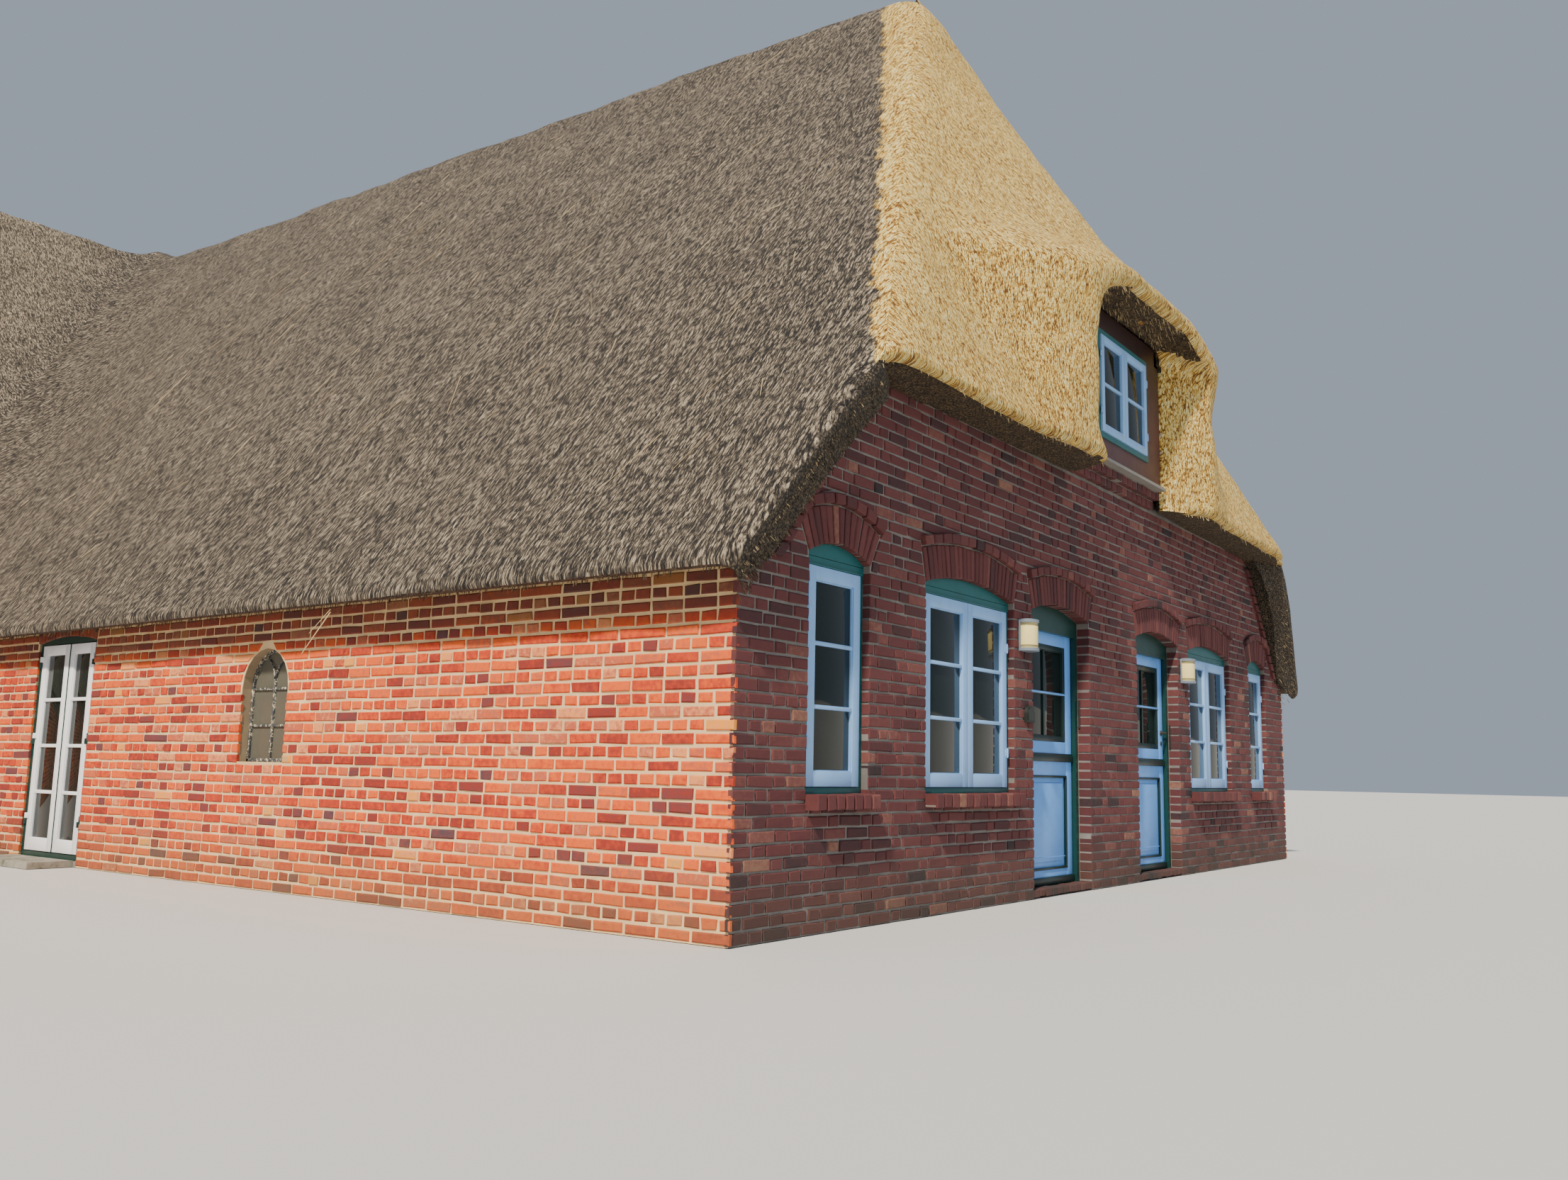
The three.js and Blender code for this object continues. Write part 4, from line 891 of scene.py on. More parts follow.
class BrickFace(Face):
    """Bricks on a face, each given by its corners along the face and up it."""

    def __init__(self, origin, out, joint=SIDE_JOINT):
        super().__init__(origin, out)
        self.joint = joint
        self.bricks = []

    def brick(self, corners, proud=BRICK_PROUD, depth=BRICK_DEPTH, tone=None):
        """Adds a brick that stands proud of the wall and reaches to a depth in it."""
        if tone is None:
            tone = random.normal(0.5, 0.17) if random.random() < 0.80 else random.random()
            tone = min(max(tone, 0.0), 1.0)
        self.bricks.append((corners, proud + random.normal(0, 0.0012), depth, tone))

    def arch(self, opening):
        """Upright bricks fanned over a head, with the drip course over them."""
        inner = opening.radius - 0.003
        outer = opening.radius + opening.band
        count = round(2 * opening.spread * ((inner + outer) / 2) / 0.062) | 1
        self.ring(opening, inner, outer, count, BRICK_PROUD + 0.002, opening.depth, 0.009)
        if opening.drip:
            inner = outer + 0.010
            count = round(2 * opening.spread * inner / 0.115)
            self.ring(opening, inner, inner + DRIP_BAND, count, 0.042, 0.02, 0.011)

    def ring(self, opening, inner, outer, count, proud, depth, joint):
        """A ring of bricks between two radii of an opening's head."""
        step = 2 * opening.spread / count
        gap = joint / 2 / ((inner + outer) / 2)
        for place in range(count):
            start = -opening.spread + place * step
            corners = [
                (opening.middle + radius * math.sin(turn), opening.centre + radius * math.cos(turn))
                for turn, radius in oblong(start + gap, start + step - gap, inner, outer)
            ]
            self.brick(corners, proud, depth, some_tone(0.5, 0.16))

    def lay(self, begin, stop, bond, start):
        """Cuts the bricks of one course to a stretch of wall, in step with the whole course."""
        place = start - sum(bond) * math.ceil((start - begin) / sum(bond) + 1)
        run = []
        number = 0
        while place < stop:
            size = bond[number % len(bond)]
            if random.random() < 0.05:
                size = bond[(number + 1) % len(bond)] if len(bond) > 1 else size * 1.5
            low, high = max(place, begin), min(place + size - self.joint, stop)
            if high - low > 0.045:
                run.append([low, high])
            place += size
            number += 1
        run = run or [[begin, stop]]
        run[0][0], run[-1][1] = begin, stop
        return run

    def course(self, low, high, ends, openings, bond, start):
        """One course between two heights; ends gives the wall's two ends at a height."""
        first, last = zip(ends(low), ends(high))
        begin = (*first, BRICK_DEPTH)
        spans = []
        for item in sorted(openings, key=lambda o: o.left):
            if item.foot < high and low < item.top:
                clear = self.joint if high > item.spring else -0.003
                halves = [item.half_width(z) + clear for z in (low, min(high, item.top - 0.004))]
                depth = item.depth if low < item.spring else BRICK_DEPTH
                spans.append((begin, (*(item.middle - half for half in halves), depth)))
                begin = (*(item.middle + half for half in halves), depth)
        spans.append((begin, (*last, BRICK_DEPTH)))
        for begin, end in spans:
            if min(end[:2]) - max(begin[:2]) < 0.02:
                continue
            run = self.lay(max(begin[:2]), min(end[:2]), bond, start)
            for number, (left, right) in enumerate(run):
                corners = oblong(left, right, low, high)
                depth = BRICK_DEPTH
                if number == 0:
                    corners[0], corners[3] = (begin[0], low), (begin[1], high)
                    depth = begin[2]
                if number == len(run) - 1:
                    corners[1], corners[2] = (end[0], low), (end[1], high)
                    depth = max(depth, end[2])
                self.brick(corners, depth=depth)

    def wall(self, top, ends, openings, courses):
        """All courses from the ground; courses gives the bond of each and where it starts."""
        for number in range(math.ceil(top / COURSE)):
            low = number * COURSE + self.joint / 2
            high = min(low + COURSE - self.joint, top)
            bond, start = courses[number % len(courses)]
            start += random.normal(0, 0.008)
            if high - low > 0.02:
                self.course(low, high, ends, openings, bond, start)
        for item in openings:
            if item.band:
                self.arch(item)

    def build(self, name, slot, material):
        """Joins the bricks, each a closed block with a worn edge, into one piece."""
        corners, proud, depth, tones = (np.array(part) for part in zip(*self.bricks))
        proud, depth = proud[:, None], depth[:, None]
        corners = corners + random.normal(0, 0.0019, corners.shape)
        step = np.roll(corners, -1, axis=1) - corners
        step /= np.maximum(np.linalg.norm(step, axis=2, keepdims=True), 0.001)
        inset = step - np.roll(step, 1, axis=1)
        width = BRICK_CHAMFER * random.uniform(0.6, 1.7, proud.shape)
        face_out = proud + random.normal(0, 0.0008, (len(proud), 4))
        rings = [
            (corners, -depth + 0 * face_out), (corners, face_out - width),
            (corners + inset * width[:, :, None], face_out),
        ]
        points = np.concatenate([np.dstack([flat, far]) for flat, far in rings], axis=1)
        turns = [(0, 1), (1, 2), (2, 3), (3, 0)]
        faces = [(8, 9, 10, 11), (3, 2, 1, 0)]
        faces += [(k + a, k + b, k + 4 + b, k + 4 + a) for k in (0, 4) for a, b in turns]
        toned_piece(name, material, self.placed(points), faces, tones)


FRONT_TONES = [
    (0.0, (0.014, 0.011, 0.014)), (0.12, (0.040, 0.017, 0.020)), (0.42, (0.098, 0.024, 0.025)),
    (0.68, (0.130, 0.035, 0.034)), (0.86, (0.180, 0.062, 0.050)), (1.0, (0.260, 0.130, 0.085)),
]
SIDE_TONES = [
    (0.0, (0.075, 0.045, 0.058)), (0.14, (0.180, 0.040, 0.040)), (0.30, (0.290, 0.027, 0.016)),
    (0.44, (0.560, 0.052, 0.012)), (0.58, (0.840, 0.130, 0.012)), (0.70, (0.500, 0.110, 0.055)),
    (0.82, (0.820, 0.290, 0.110)), (0.92, (0.880, 0.320, 0.025)), (1.0, (0.480, 0.340, 0.180)),
]
FRONT_MORTAR = ((0.105, 0.096, 0.092), (0.29, 0.265, 0.24))
SIDE_MORTAR = ((0.56, 0.37, 0.19), (0.98, 0.72, 0.38))
REVEAL_GREYS_AND_SHADE = ((0.16, 0.125, 0.085), (0.34, 0.27, 0.18))


def brick_finish(name, tones, smear, smear_colour, damp_colour, painted_eave_shadow):
    """Fired clay in the brick's own tone, with blotches, grit, mortar smears, stains and a painted eave
    shadow.
    """
    finish = Finish(name)
    own = finish.node("ShaderNodeAttribute", attribute_name="tone")["Fac"]
    blotch = finish.grain(0.035, 4, 0.65)
    grit = finish.grain(0.004, 3, 0.7)
    wide = finish.grain(0.9, 3, 0.6)
    tone = own * 0.86 + (blotch - 0.5) * 0.45 + (wide - 0.5) * 0.25 + 0.07
    colour = finish.colours(tone, tones)
    colour = finish.mix(grit.between(0.62, 0.75) * 0.35, colour, (0.02, 0.015, 0.014))
    patch = finish.grain(0.07, 5, 0.75)
    cover = (patch + (wide - 0.5) * 0.3).between(1 - smear, 1.12 - smear)
    colour = finish.mix(cover * 0.75, colour, smear_colour)
    at = finish.axes()
    damp = (at["Z"] * -1.0 + blotch * 0.35).between(-0.32, 0.12)
    colour = finish.mix(damp * 0.45, colour, damp_colour)
    # Painted shadow: the walls are darkened close under an eave, but not on the ends of the wing.
    high = (at["Z"] + (blotch - 0.5) * 0.12).between(1.58, 1.76)
    inside = at["X"].math("ABSOLUTE").between(WING_LENGTH_HALF - 0.02, WING_LENGTH_HALF - 0.04)
    colour = finish.mix(high * inside * painted_eave_shadow, colour, (0.060, 0.030, 0.020))
    return finish.made(colour, blotch * 0.15 + 0.78, blotch * 0.6 + grit * 0.4, 0.0045, 0.8)


def mortar_finish(name, dark, pale, round_corner=None, reveals=None):
    """Sandy, stained lime mortar, whose tones may change round the corner, and in reveals to grey
    plaster that is darkened with painted shade.
    """
    finish = Finish(name)
    sand = finish.grain(0.003, 2, 0.7)
    stain = finish.grain(0.25, 4, 0.65)
    colour = finish.colours(sand * 0.4 + stain * 0.6, [(0.3, dark), (0.68, pale)])
    across = finish.axes()["X"].math("ABSOLUTE")
    if round_corner:
        outside = across.between(MAIN_HALF - 0.003, MAIN_HALF - 0.001)
        colour = finish.mix(outside, colour, finish.mix(stain, *round_corner))
    if reveals:
        # In the reveals: grey plaster, darkened further with painted shade.
        inside = 1 - across.between(MAIN_HALF - 0.006, MAIN_HALF - 0.002)
        colour = finish.mix(inside * 0.85, colour, finish.mix(stain, *reveals))
    return finish.made(colour, 0.93, sand, 0.003, 0.7)


def coat(material, *node_names):
    """Gives solids of the frame that stay as they are a finish of their own."""
    for name in node_names:
        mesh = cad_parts[name].data
        mesh.materials.clear()
        mesh.materials.append(material)


# The last number is how strongly the painted eave shadow shows: not on the front.
front_brick = brick_finish("front_brick", FRONT_TONES, 0.24, (0.13, 0.112, 0.10), (0.05, 0.045, 0.028), 0.0)
side_brick = brick_finish("side_brick", SIDE_TONES, 0.27, (0.80, 0.52, 0.28), (0.16, 0.115, 0.045), 0.75)
side_mortar = mortar_finish("side_mortar", *SIDE_MORTAR)
front_mortar = mortar_finish("front_mortar", *FRONT_MORTAR, round_corner=SIDE_MORTAR)
reveal_mortar = mortar_finish("reveal_mortar", *SIDE_MORTAR, reveals=REVEAL_GREYS_AND_SHADE)
coat(front_mortar, "front_wall_left", "front_wall_pier", "front_wall_right", "front_gable")
coat(reveal_mortar, "left_wall_front", "left_wall_rear", "left_wall_head", "right_wall")
coat(side_mortar, "wing_front_wall_left", "wing_front_wall_right", "back_wall")
coat(side_mortar, "wing_end_wall_left", "wing_end_wall_right")

# Front: six arched openings, with sills of upright bricks under the windows and thresholds
# under the doors. The gable is cut off along the reed, and corbels carry the dormer's sill.
SPRING = 2.10
HEAD_RISE = 0.08
FRONT_SILL = 0.745
SINGLE_X, SINGLE_WIDTH = 4.15, 0.64
DOUBLE_X, DOUBLE_WIDTH = 2.525, 1.275
DOOR_X, DOOR_WIDTH = 1.055, 1.065
DORMER_HALF = 0.90
CORBELS = [(3.290, 3.365, 0.045), (3.365, 3.440, 0.095)]
SILL_BRICK, SILL_HEIGHT, SILL_PROUD, SILL_LAP = 0.095, 0.079, 0.094, 0.004
DOOR_BRICKS = 10
DOOR_DEPTH = 0.095
THRESHOLD = (0.010, 0.062)
HALF_JOINT = 0.006
VERGE_FOOT, VERGE_BAND, VERGE_STEP, VERGE_BRICKS = 2.02, 0.085, 0.088, 13
SQUARE_TOP = 1.95
STRETCHER_HEADER = [0.230, 0.115]
FRONT_BOND = [(STRETCHER_HEADER, start) for start in (0.0, 0.17, 0.02, 0.19)]
SIDE_BOND = [(STRETCHER_HEADER[:1], 0.0), (STRETCHER_HEADER[1:], 0.0575)]
slope_rise = -LEFT_NEAR.normal[0] / LEFT_NEAR.normal[2]
reed_foot = (LEFT_NEAR.offset - THATCH_DEPTH - LEFT_NEAR.normal[1] * FRONT) / LEFT_NEAR.normal[2]


def gable_ends(height):
    """Where the front wall meets the reed, as far out as the wall goes."""
    half = MAIN_HALF + BRICK_PROUD if height < SQUARE_TOP else (reed_foot - height) / slope_rise + 0.005
    return -half, half


front_openings = []
for side in (-1, 1):
    for middle, width, foot, depth in (
        (SINGLE_X, SINGLE_WIDTH, FRONT_SILL, 0.045), (DOUBLE_X, DOUBLE_WIDTH, FRONT_SILL, 0.045),
        (DOOR_X, DOOR_WIDTH, 0.0, DOOR_DEPTH),
    ):
        left = side * middle - width / 2
        front_openings.append(Opening(left, left + width, foot, SPRING, HEAD_RISE, depth, drip=True))
face = BrickFace((0, FRONT, 0), (0, -1, 0), FRONT_JOINT)
face.wall(CORBELS[0][0] - 0.004, gable_ends, front_openings, FRONT_BOND)
for bottom, top, proud in CORBELS:
    place = -DORMER_HALF
    while place < DORMER_HALF - 0.05:
        end = min(place + HEADER, DORMER_HALF)
        corners = oblong(place, end, bottom - 0.003, top - 0.011)
        face.brick(corners, proud + 0.007, 0.0, some_tone(0.45, 0.16))
        place = end + FRONT_JOINT
for item in front_openings:
    width = item.right - item.left
    count = round(width / SILL_BRICK) if item.foot else DOOR_BRICKS
    for number in range(count):
        left = item.left + number * (width / count)
        right = item.left + (number + 1) * (width / count)
        if item.foot:
            left += HALF_JOINT if number else -SILL_LAP
            right += SILL_LAP if number == count - 1 else -HALF_JOINT
            corners = oblong(left, right, item.foot - SILL_HEIGHT, item.foot + 0.006)
            face.brick(corners, SILL_PROUD, 0.03, some_tone(0.58, 0.20))
        else:
            corners = oblong(left + HALF_JOINT / 2, right - HALF_JOINT, *THRESHOLD)
            face.brick(corners, 0.004, DOOR_DEPTH - 0.001, some_tone(0.40, 0.16))
# A course on edge stands out along each verge, close under the reed.
for side in (-1, 1):
    for number in range(VERGE_BRICKS):
        low = VERGE_FOOT + number * VERGE_STEP
        high = low + VERGE_STEP - FRONT_JOINT
        lower, upper = ((reed_foot - z) / slope_rise - 0.02 for z in (low, high))
        if lower < MAIN_HALF:
            corners = [(lower - VERGE_BAND, low), (lower, low), (upper, high), (upper - VERGE_BAND, high)]
            if side < 0:
                corners = [(-along, up) for along, up in (corners[k] for k in (1, 0, 3, 2))]
            face.brick(corners, 0.036, BRICK_DEPTH, some_tone(0.5, 0.14))
face.build("bricks_front", "front_brick", front_brick)

# Sides, back and cross wing: courses of stretchers and of headers, round the garden door, the
# iron windows and the low windows. The wing's ends rise to the eaves of its hips.
GARDEN_Y = (6.65, 7.66)
GARDEN_SPRING, GARDEN_RISE = 1.835, 0.05
IRON_Y = (3.91, 4.47)
IRON_SILL, IRON_TOP = 0.865, 1.66
IRON_RADIUS = (IRON_Y[1] - IRON_Y[0]) / 2
LOW_SILL, LOW_HEAD, LOW_RISE, LOW_WIDTH = 0.75, 1.70, 0.06, 1.10
WING_FRONT_Y = FRONT + MAIN_LENGTH
WING_BACK_Y = 2 * WING_MIDDLE - WING_FRONT_Y
BRICK_HALF = MAIN_HALF + BRICK_PROUD
WING_HALF = WING_LENGTH_HALF + BRICK_PROUD
# Each wall with low windows: where it is, where it faces, and the middles of its windows.
LOW_WALLS = {
    "right": ((MAIN_HALF, FRONT, 0), (1, 0, 0), [(GARDEN_Y[0] + GARDEN_Y[1]) / 2]),
    "back": ((0, WING_BACK_Y, 0), (0, 1, 0), [-8.25, -2.75, 2.75, 8.25]),
    "wing_left": ((-WING_LENGTH_HALF, WING_MIDDLE, 0), (-1, 0, 0), [-2.15, 2.15]),
    "wing_right": ((WING_LENGTH_HALF, WING_MIDDLE, 0), (1, 0, 0), [-2.15, 2.15]),
}
wing_foot = (WING_FRONT.offset - THATCH_DEPTH) / WING_FRONT.normal[2]
wing_rise = -WING_FRONT.normal[1] / WING_FRONT.normal[2]


def low_window(middle):
    """One of the low windows of the walls that stand behind."""
    left, right = middle - LOW_WIDTH / 2, middle + LOW_WIDTH / 2
    return Opening(left, right, LOW_SILL, LOW_HEAD - LOW_RISE, LOW_RISE, 0.10)


def iron_window(low, high):
    """The round-headed opening of an iron window."""
    return Opening(low, high, IRON_SILL, IRON_TOP - IRON_RADIUS, IRON_RADIUS, 0.012, band=0)


def wing_ends(height):
    """Where an end wall of the wing meets the reed, from the middle of the wing."""
    reach = (wing_foot - height) / wing_rise + WING_MIDDLE
    half = WING_BACK_Y - WING_MIDDLE if height < SQUARE_TOP else reach + 0.005
    return -half, half


def side_bricks(name, origin, out, ends, openings, top=WALL_TOP):
    """The bricks of one of the orange walls; ends is a function, or two fixed places."""
    face = BrickFace(origin, out)
    face.wall(top, ends if callable(ends) else lambda height: ends, openings, SIDE_BOND)
    face.build(f"bricks_{name}", "side_brick", side_brick)


low_windows = {name: [low_window(middle) for middle in wall[2]] for name, wall in LOW_WALLS.items()}
garden_door = Opening(-GARDEN_Y[1], -GARDEN_Y[0], 0.0, GARDEN_SPRING, GARDEN_RISE, 0.012, band=0.1)
left_openings = [garden_door, iron_window(-IRON_Y[1], -IRON_Y[0])]
side_bricks("left", (-MAIN_HALF, FRONT, 0), (-1, 0, 0), (-MAIN_LENGTH, BRICK_PROUD), left_openings)
right_openings = [iron_window(*IRON_Y), *low_windows["right"]]
side_bricks("right", *LOW_WALLS["right"][:2], (-BRICK_PROUD, MAIN_LENGTH), right_openings)
side_bricks("wing_front_left", (0, WING_FRONT_Y, 0), (0, -1, 0), (-WING_HALF, -BRICK_HALF), [])
side_bricks("wing_front_right", (0, WING_FRONT_Y, 0), (0, -1, 0), (BRICK_HALF, WING_HALF), [])
side_bricks("back", *LOW_WALLS["back"][:2], (-WING_HALF, WING_HALF), low_windows["back"])
for name in SIDES:
    origin, out, _ = LOW_WALLS[f"wing_{name}"]
    openings = low_windows[f"wing_{name}"]
    side_bricks(f"wing_end_{name}", origin, out, wing_ends, openings, HIP_EAVE_Z - 0.004)

# Front windows: green frames in the openings, and white casements with three panes each,
# glazed with old glass. Every stile, rail and bar is a planed piece with eased edges.
BLOCK_BEVEL = 0.25
HEAD_BOARDS = ((0.008, 0.052), (0.056, 0.30))
FRAME_FACE = 0.05
FRAME_OUT = -0.05
SASH_OUT = -0.03
SASH_THICK = 0.045
SASH_LOW, SASH_HIGH = 0.79, 2.03
SASH_STILE = 0.072
BAR = 0.024
BEAD = 0.007


def modelled(operator, size, **bevel):
    """The points and faces of a primitive with eased edges, which is then put away."""
    bpy.ops.object.select_all(action="DESELECT")
    operator(**size)
    piece = bpy.context.object
    add_modifier(piece, "BEVEL", segments=2, **bevel)
    made = read_points(piece), [list(face.vertices) for face in piece.data.polygons]
    bpy.data.objects.remove(piece)
    return made


# A cube of half size 1, and a round bar of radius 1 and half length 1.
block_points, block_faces = modelled(bpy.ops.mesh.primitive_cube_add, {"size": 2}, width=BLOCK_BEVEL)
rod_points, rod_faces = modelled(
    bpy.ops.mesh.primitive_cylinder_add, {"vertices": 20, "radius": 1, "depth": 2},
    width=0.12, limit_method="ANGLE", angle_limit=1.0,
)


class Bench(Face):
    """Collects the worked parts of one piece, in places u along a face, v up it and w out."""

    def __init__(self, origin, out):
        super().__init__(origin, out)
        self.points = []
        self.faces = []

    def add(self, points, faces):
        start = len(self.points)
        self.faces += [[start + corner for corner in face] for face in faces]
        self.points += list(points)

    def block(self, u, v, w, edge=0.003):
        """A planed block, given by its two ends along each axis."""
        low, high = np.array([u, v, w], float).T
        half = (high - low) / 2
        ease = min(edge, half.min() * 0.9)
        inward = (1 - np.abs(block_points)) / BLOCK_BEVEL * ease
        self.add((low + high) / 2 + np.sign(block_points) * (half - inward), block_faces)

    def rod(self, start, end, radius):
        """A round bar between two points of the face."""
        start, end = Vector(start), Vector(end)
        turn = (end - start).to_track_quat("Z", "Y").to_matrix()
        sized = rod_points * np.array((radius, radius, (end - start).length / 2))
        self.add(sized @ np.array(turn).T + np.array((start + end) / 2), rod_faces)

    def post(self, u, v, w, radius):
        """An upright round bar."""
        self.rod((u, v[0], w), (u, v[1], w), radius)

    def board(self, outline, w):
        """A flat board with the given outline, anticlockwise as seen from outside."""
        count = len(outline)
        faces = [list(range(count))[::-1], list(range(count, 2 * count))]
        for corner in range(count):
            after = (corner + 1) % count
            faces.append([corner, after, count + after, count + corner])
        self.add([(*corner, depth) for depth in w for corner in outline], faces)

    def strip(self, inner, outer, w):
        """Small boards between two lines of points."""
        for near, far, near_out, far_out in zip(inner, inner[1:], outer, outer[1:]):
            self.board([near, near_out, far_out, far], w)

    def build(self, name, slot, material, stands_for=None, body="house"):
        """Makes the piece, which rides with a body and may stand for a solid of the frame."""
        piece = add_mesh(name, self.placed(np.array(self.points, float)), self.faces, material)
        take(piece)
        bpy.ops.object.shade_smooth_by_angle(angle=math.radians(35))
        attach(piece, body)
        if stands_for:
            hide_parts(stands_for)


def benches(count, origin=(0, FRONT, 0), out=(0, -1, 0)):
    return [Bench(origin, out) for _ in range(count)]


def about(middle, half):
    """The two ends of something, from its middle and half its size."""
    return middle - half, middle + half


def widen(span, by):
    return span[0] - by, span[1] + by


def strips(span, width, lap=0.0):
    """A strip inside each of two ends, which may lap over the end."""
    return (span[0] - lap, span[0] + width), (span[1] - width, span[1] + lap)


def paint_finish(name, colour, grime_and_shade, roughness=0.42, flaking=None, painted_shade_heights=None):
    """Oil paint laid on with a brush, a little dirty. It may be flaking, with how much and the
    colour that shows then, and may be darkened with painted shade between two heights."""
    finish = Finish(name)
    cloud = finish.grain(0.12, 4, 0.6)
    brush = finish.grain(0.004, 2, 0.5, finish.place((1.0, 1.0, 0.12)))
    dirt = (cloud + (brush - 0.5) * 0.3).between(0.45, 0.85)
    mixed = finish.mix(dirt * 0.32, colour, grime_and_shade)
    if flaking:
        share, shows = flaking
        bare = finish.grain(0.03, 5, 0.8).between(1 - share, 1.03 - share)
        mixed = finish.mix(bare, mixed, shows)
    # Painted shade: darkened towards the grime colour between two heights.
    if painted_shade_heights:
        height = finish.axes()["Z"] + (cloud - 0.5) * 0.2
        mixed = finish.mix(height.between(*painted_shade_heights) * 0.85, mixed, grime_and_shade)
    roughness = cloud * 0.2 + roughness - 0.1
    return finish.made(mixed, roughness, brush * 0.5 + cloud * 0.5, 0.0006, 0.6)


def glass_finish(name, clear, dusty):
    """Old panes over dark rooms, glossy and not quite flat; the rooms' darkness is painted shade in them."""
    finish = Finish(name)
    dust = finish.grain(0.02, 4, 0.7)
    colour = finish.mix(dust.between(0.5, 0.9) * 0.4, clear, dusty)
    finish.shader.inputs["IOR"].default_value = 1.42
    return finish.made(colour, dust * 0.06 + 0.02, finish.grain(0.30, 2, 0.4), 0.004, 0.5)


# The sashes' bluish white is toned a deeper blue here, as painted skylit shade.
white_paint = paint_finish("white_paint", (0.27, 0.50, 0.86), (0.22, 0.32, 0.44))
blue_paint = paint_finish("blue_paint", (0.155, 0.41, 0.92), (0.11, 0.22, 0.42))
green_paint = paint_finish("green_paint", (0.008, 0.115, 0.120), (0.007, 0.055, 0.058), 0.36)
deep_green_paint = paint_finish("deep_green_paint", (0.003, 0.022, 0.022), (0.004, 0.013, 0.013), 0.36)
# The clear panes are near black: painted shade of the rooms behind them.
old_glass = glass_finish("old_glass", (0.008, 0.014, 0.013), (0.05, 0.06, 0.055))
dusty_glass = glass_finish("dusty_glass", (0.115, 0.110, 0.085), (0.20, 0.19, 0.15))


def inset_arc(item, inset, steps=14):
    """Points of an opening's head from right to left, kept clear of its edge."""
    radius = item.radius - inset
    half = (item.right - item.left) / 2 - inset
    spread = math.asin(min(half / radius, 1.0))
    turns = [spread - 2 * spread * place / steps for place in range(steps + 1)]
    return [(item.middle + radius * math.sin(turn), item.centre + radius * math.cos(turn)) for turn in turns]


def sash(wood, glass, u, v, front, thick, stile, top, bottom, across=1, up=1, bar=BAR):
    """A glazed frame: two stiles, two rails, the bars between panes, and the panes."""
    back = front - thick
    inner = widen(u, -stile)
    light = (v[0] + bottom, v[1] - top)
    for part in strips(u, stile):
        wood.block(part, v, (back, front))
    for part in ((light[1], v[1]), (v[0], light[0])):
        wood.block(widen(inner, 0.002), part, (back, front - 0.0006))
    for part in strips(inner, BEAD, 0.001):
        wood.block(part, light, (back + 0.006, front - 0.009), 0.002)
    for part in strips(light, BEAD, 0.001):
        wood.block(inner, part, (back + 0.006, front - 0.009), 0.002)
    for number in range(1, up):
        middle = light[0] + (light[1] - light[0]) * number / up
        wood.block(inner, about(middle, bar / 2), (back + 0.004, front - 0.004), 0.004)
    for number in range(1, across):
        middle = inner[0] + (inner[1] - inner[0]) * number / across
        wood.block(about(middle, bar / 2), light, (back + 0.0045, front - 0.0035), 0.004)
    pane = (back + front) / 2 - 0.002
    glass.block(widen(inner, 0.006), widen(light, 0.006), about(pane, 0.003), 0.001)


def small_hinge(wood, edge, middle, front, way):
    """A lift-off hinge on the edge of a casement, painted with it."""
    wood.post(edge, about(middle, 0.034), front + 0.002, 0.007)
    flap = sorted((edge + way * 0.022, edge - way * 0.030))
    wood.block(flap, about(middle, 0.026), (front - 0.004, front + 0.003), 0.001)


windows = sorted((item for item in front_openings if item.foot), key=lambda item: item.left)
for number, item in enumerate(windows, 1):
    wood, glass, head = benches(3)
    left, right = widen((item.left, item.right), -FRAME_FACE - 0.002)
    sashes = [(left, right)]
    ways = [1 if item.middle > 0 else -1]
    if item.right - item.left > 1:
        sashes = [(left, item.middle - 0.002), (item.middle + 0.002, right)]
        ways = [-1, 1]
    for u in sashes:
        sash(wood, glass, u, (SASH_LOW, SASH_HIGH), SASH_OUT, SASH_THICK, SASH_STILE, 0.08, 0.085, up=3)
    for way in ways:
        for height in (SASH_LOW + 0.24, SASH_HIGH - 0.26):
            small_hinge(wood, right if way > 0 else left, height, SASH_OUT, way)
    wood.build(f"window_{number}_sashes", "white_paint", white_paint, f"window_{number}_casement")
    glass.build(f"window_{number}_panes", "glass", old_glass)
    for low, high in HEAD_BOARDS:
        low, high = SASH_HIGH + low, SASH_HIGH + high
        top = [(u, min(v, high)) for u, v in inset_arc(item, 0.004) if v > low + 0.004]
        ends = [(top[-1][0], low), (top[0][0], low)]
        head.board([*ends, *top], (FRAME_OUT - 0.002, FRAME_OUT + 0.008))
    cover = widen((left, right), 0.012)
    head.block(cover, (SASH_HIGH + 0.002, SASH_HIGH + 0.010), (FRAME_OUT, SASH_OUT + 0.006), 0.002)
    sill = (FRONT_SILL + 0.004, SASH_LOW - 0.004)
    head.block(widen((left, right), 0.03), sill, (FRAME_OUT - 0.002, FRAME_OUT + 0.012), 0.004)
    head.build(f"window_{number}_head_boards", "green_paint", green_paint)
    coat(green_paint, f"window_{number}_frame")

# Front doors: pale blue leaves hung from behind in green frames. Each has a green sash of
# four panes, a weather bar across its middle, a raised panel below, and a lever handle.
DOOR_OUT = -0.138
DOOR_BACK = DOOR_OUT - 0.045
DOOR_HALF = 0.4865
DOOR_LOW, DOOR_HIGH = 0.057, 1.992
DOOR_STILE = 0.105
DOOR_PANEL = (0.17, 0.88)
DOOR_LIGHT = (1.14, 1.89)
LIGHT_MIDDLE = (DOOR_LIGHT[0] + DOOR_LIGHT[1]) / 2
DOOR_HINGE_OUT = -0.200
DOOR_HINGES = (0.28, 1.08, 1.76)
MOULDING = 0.018
HANDLE_Z = 1.29
BARREL, BARREL_LENGTH = 0.009, 0.045
handle_iron = paint_finish("handle_iron", (0.045, 0.042, 0.038), (0.10, 0.075, 0.045), 0.45)
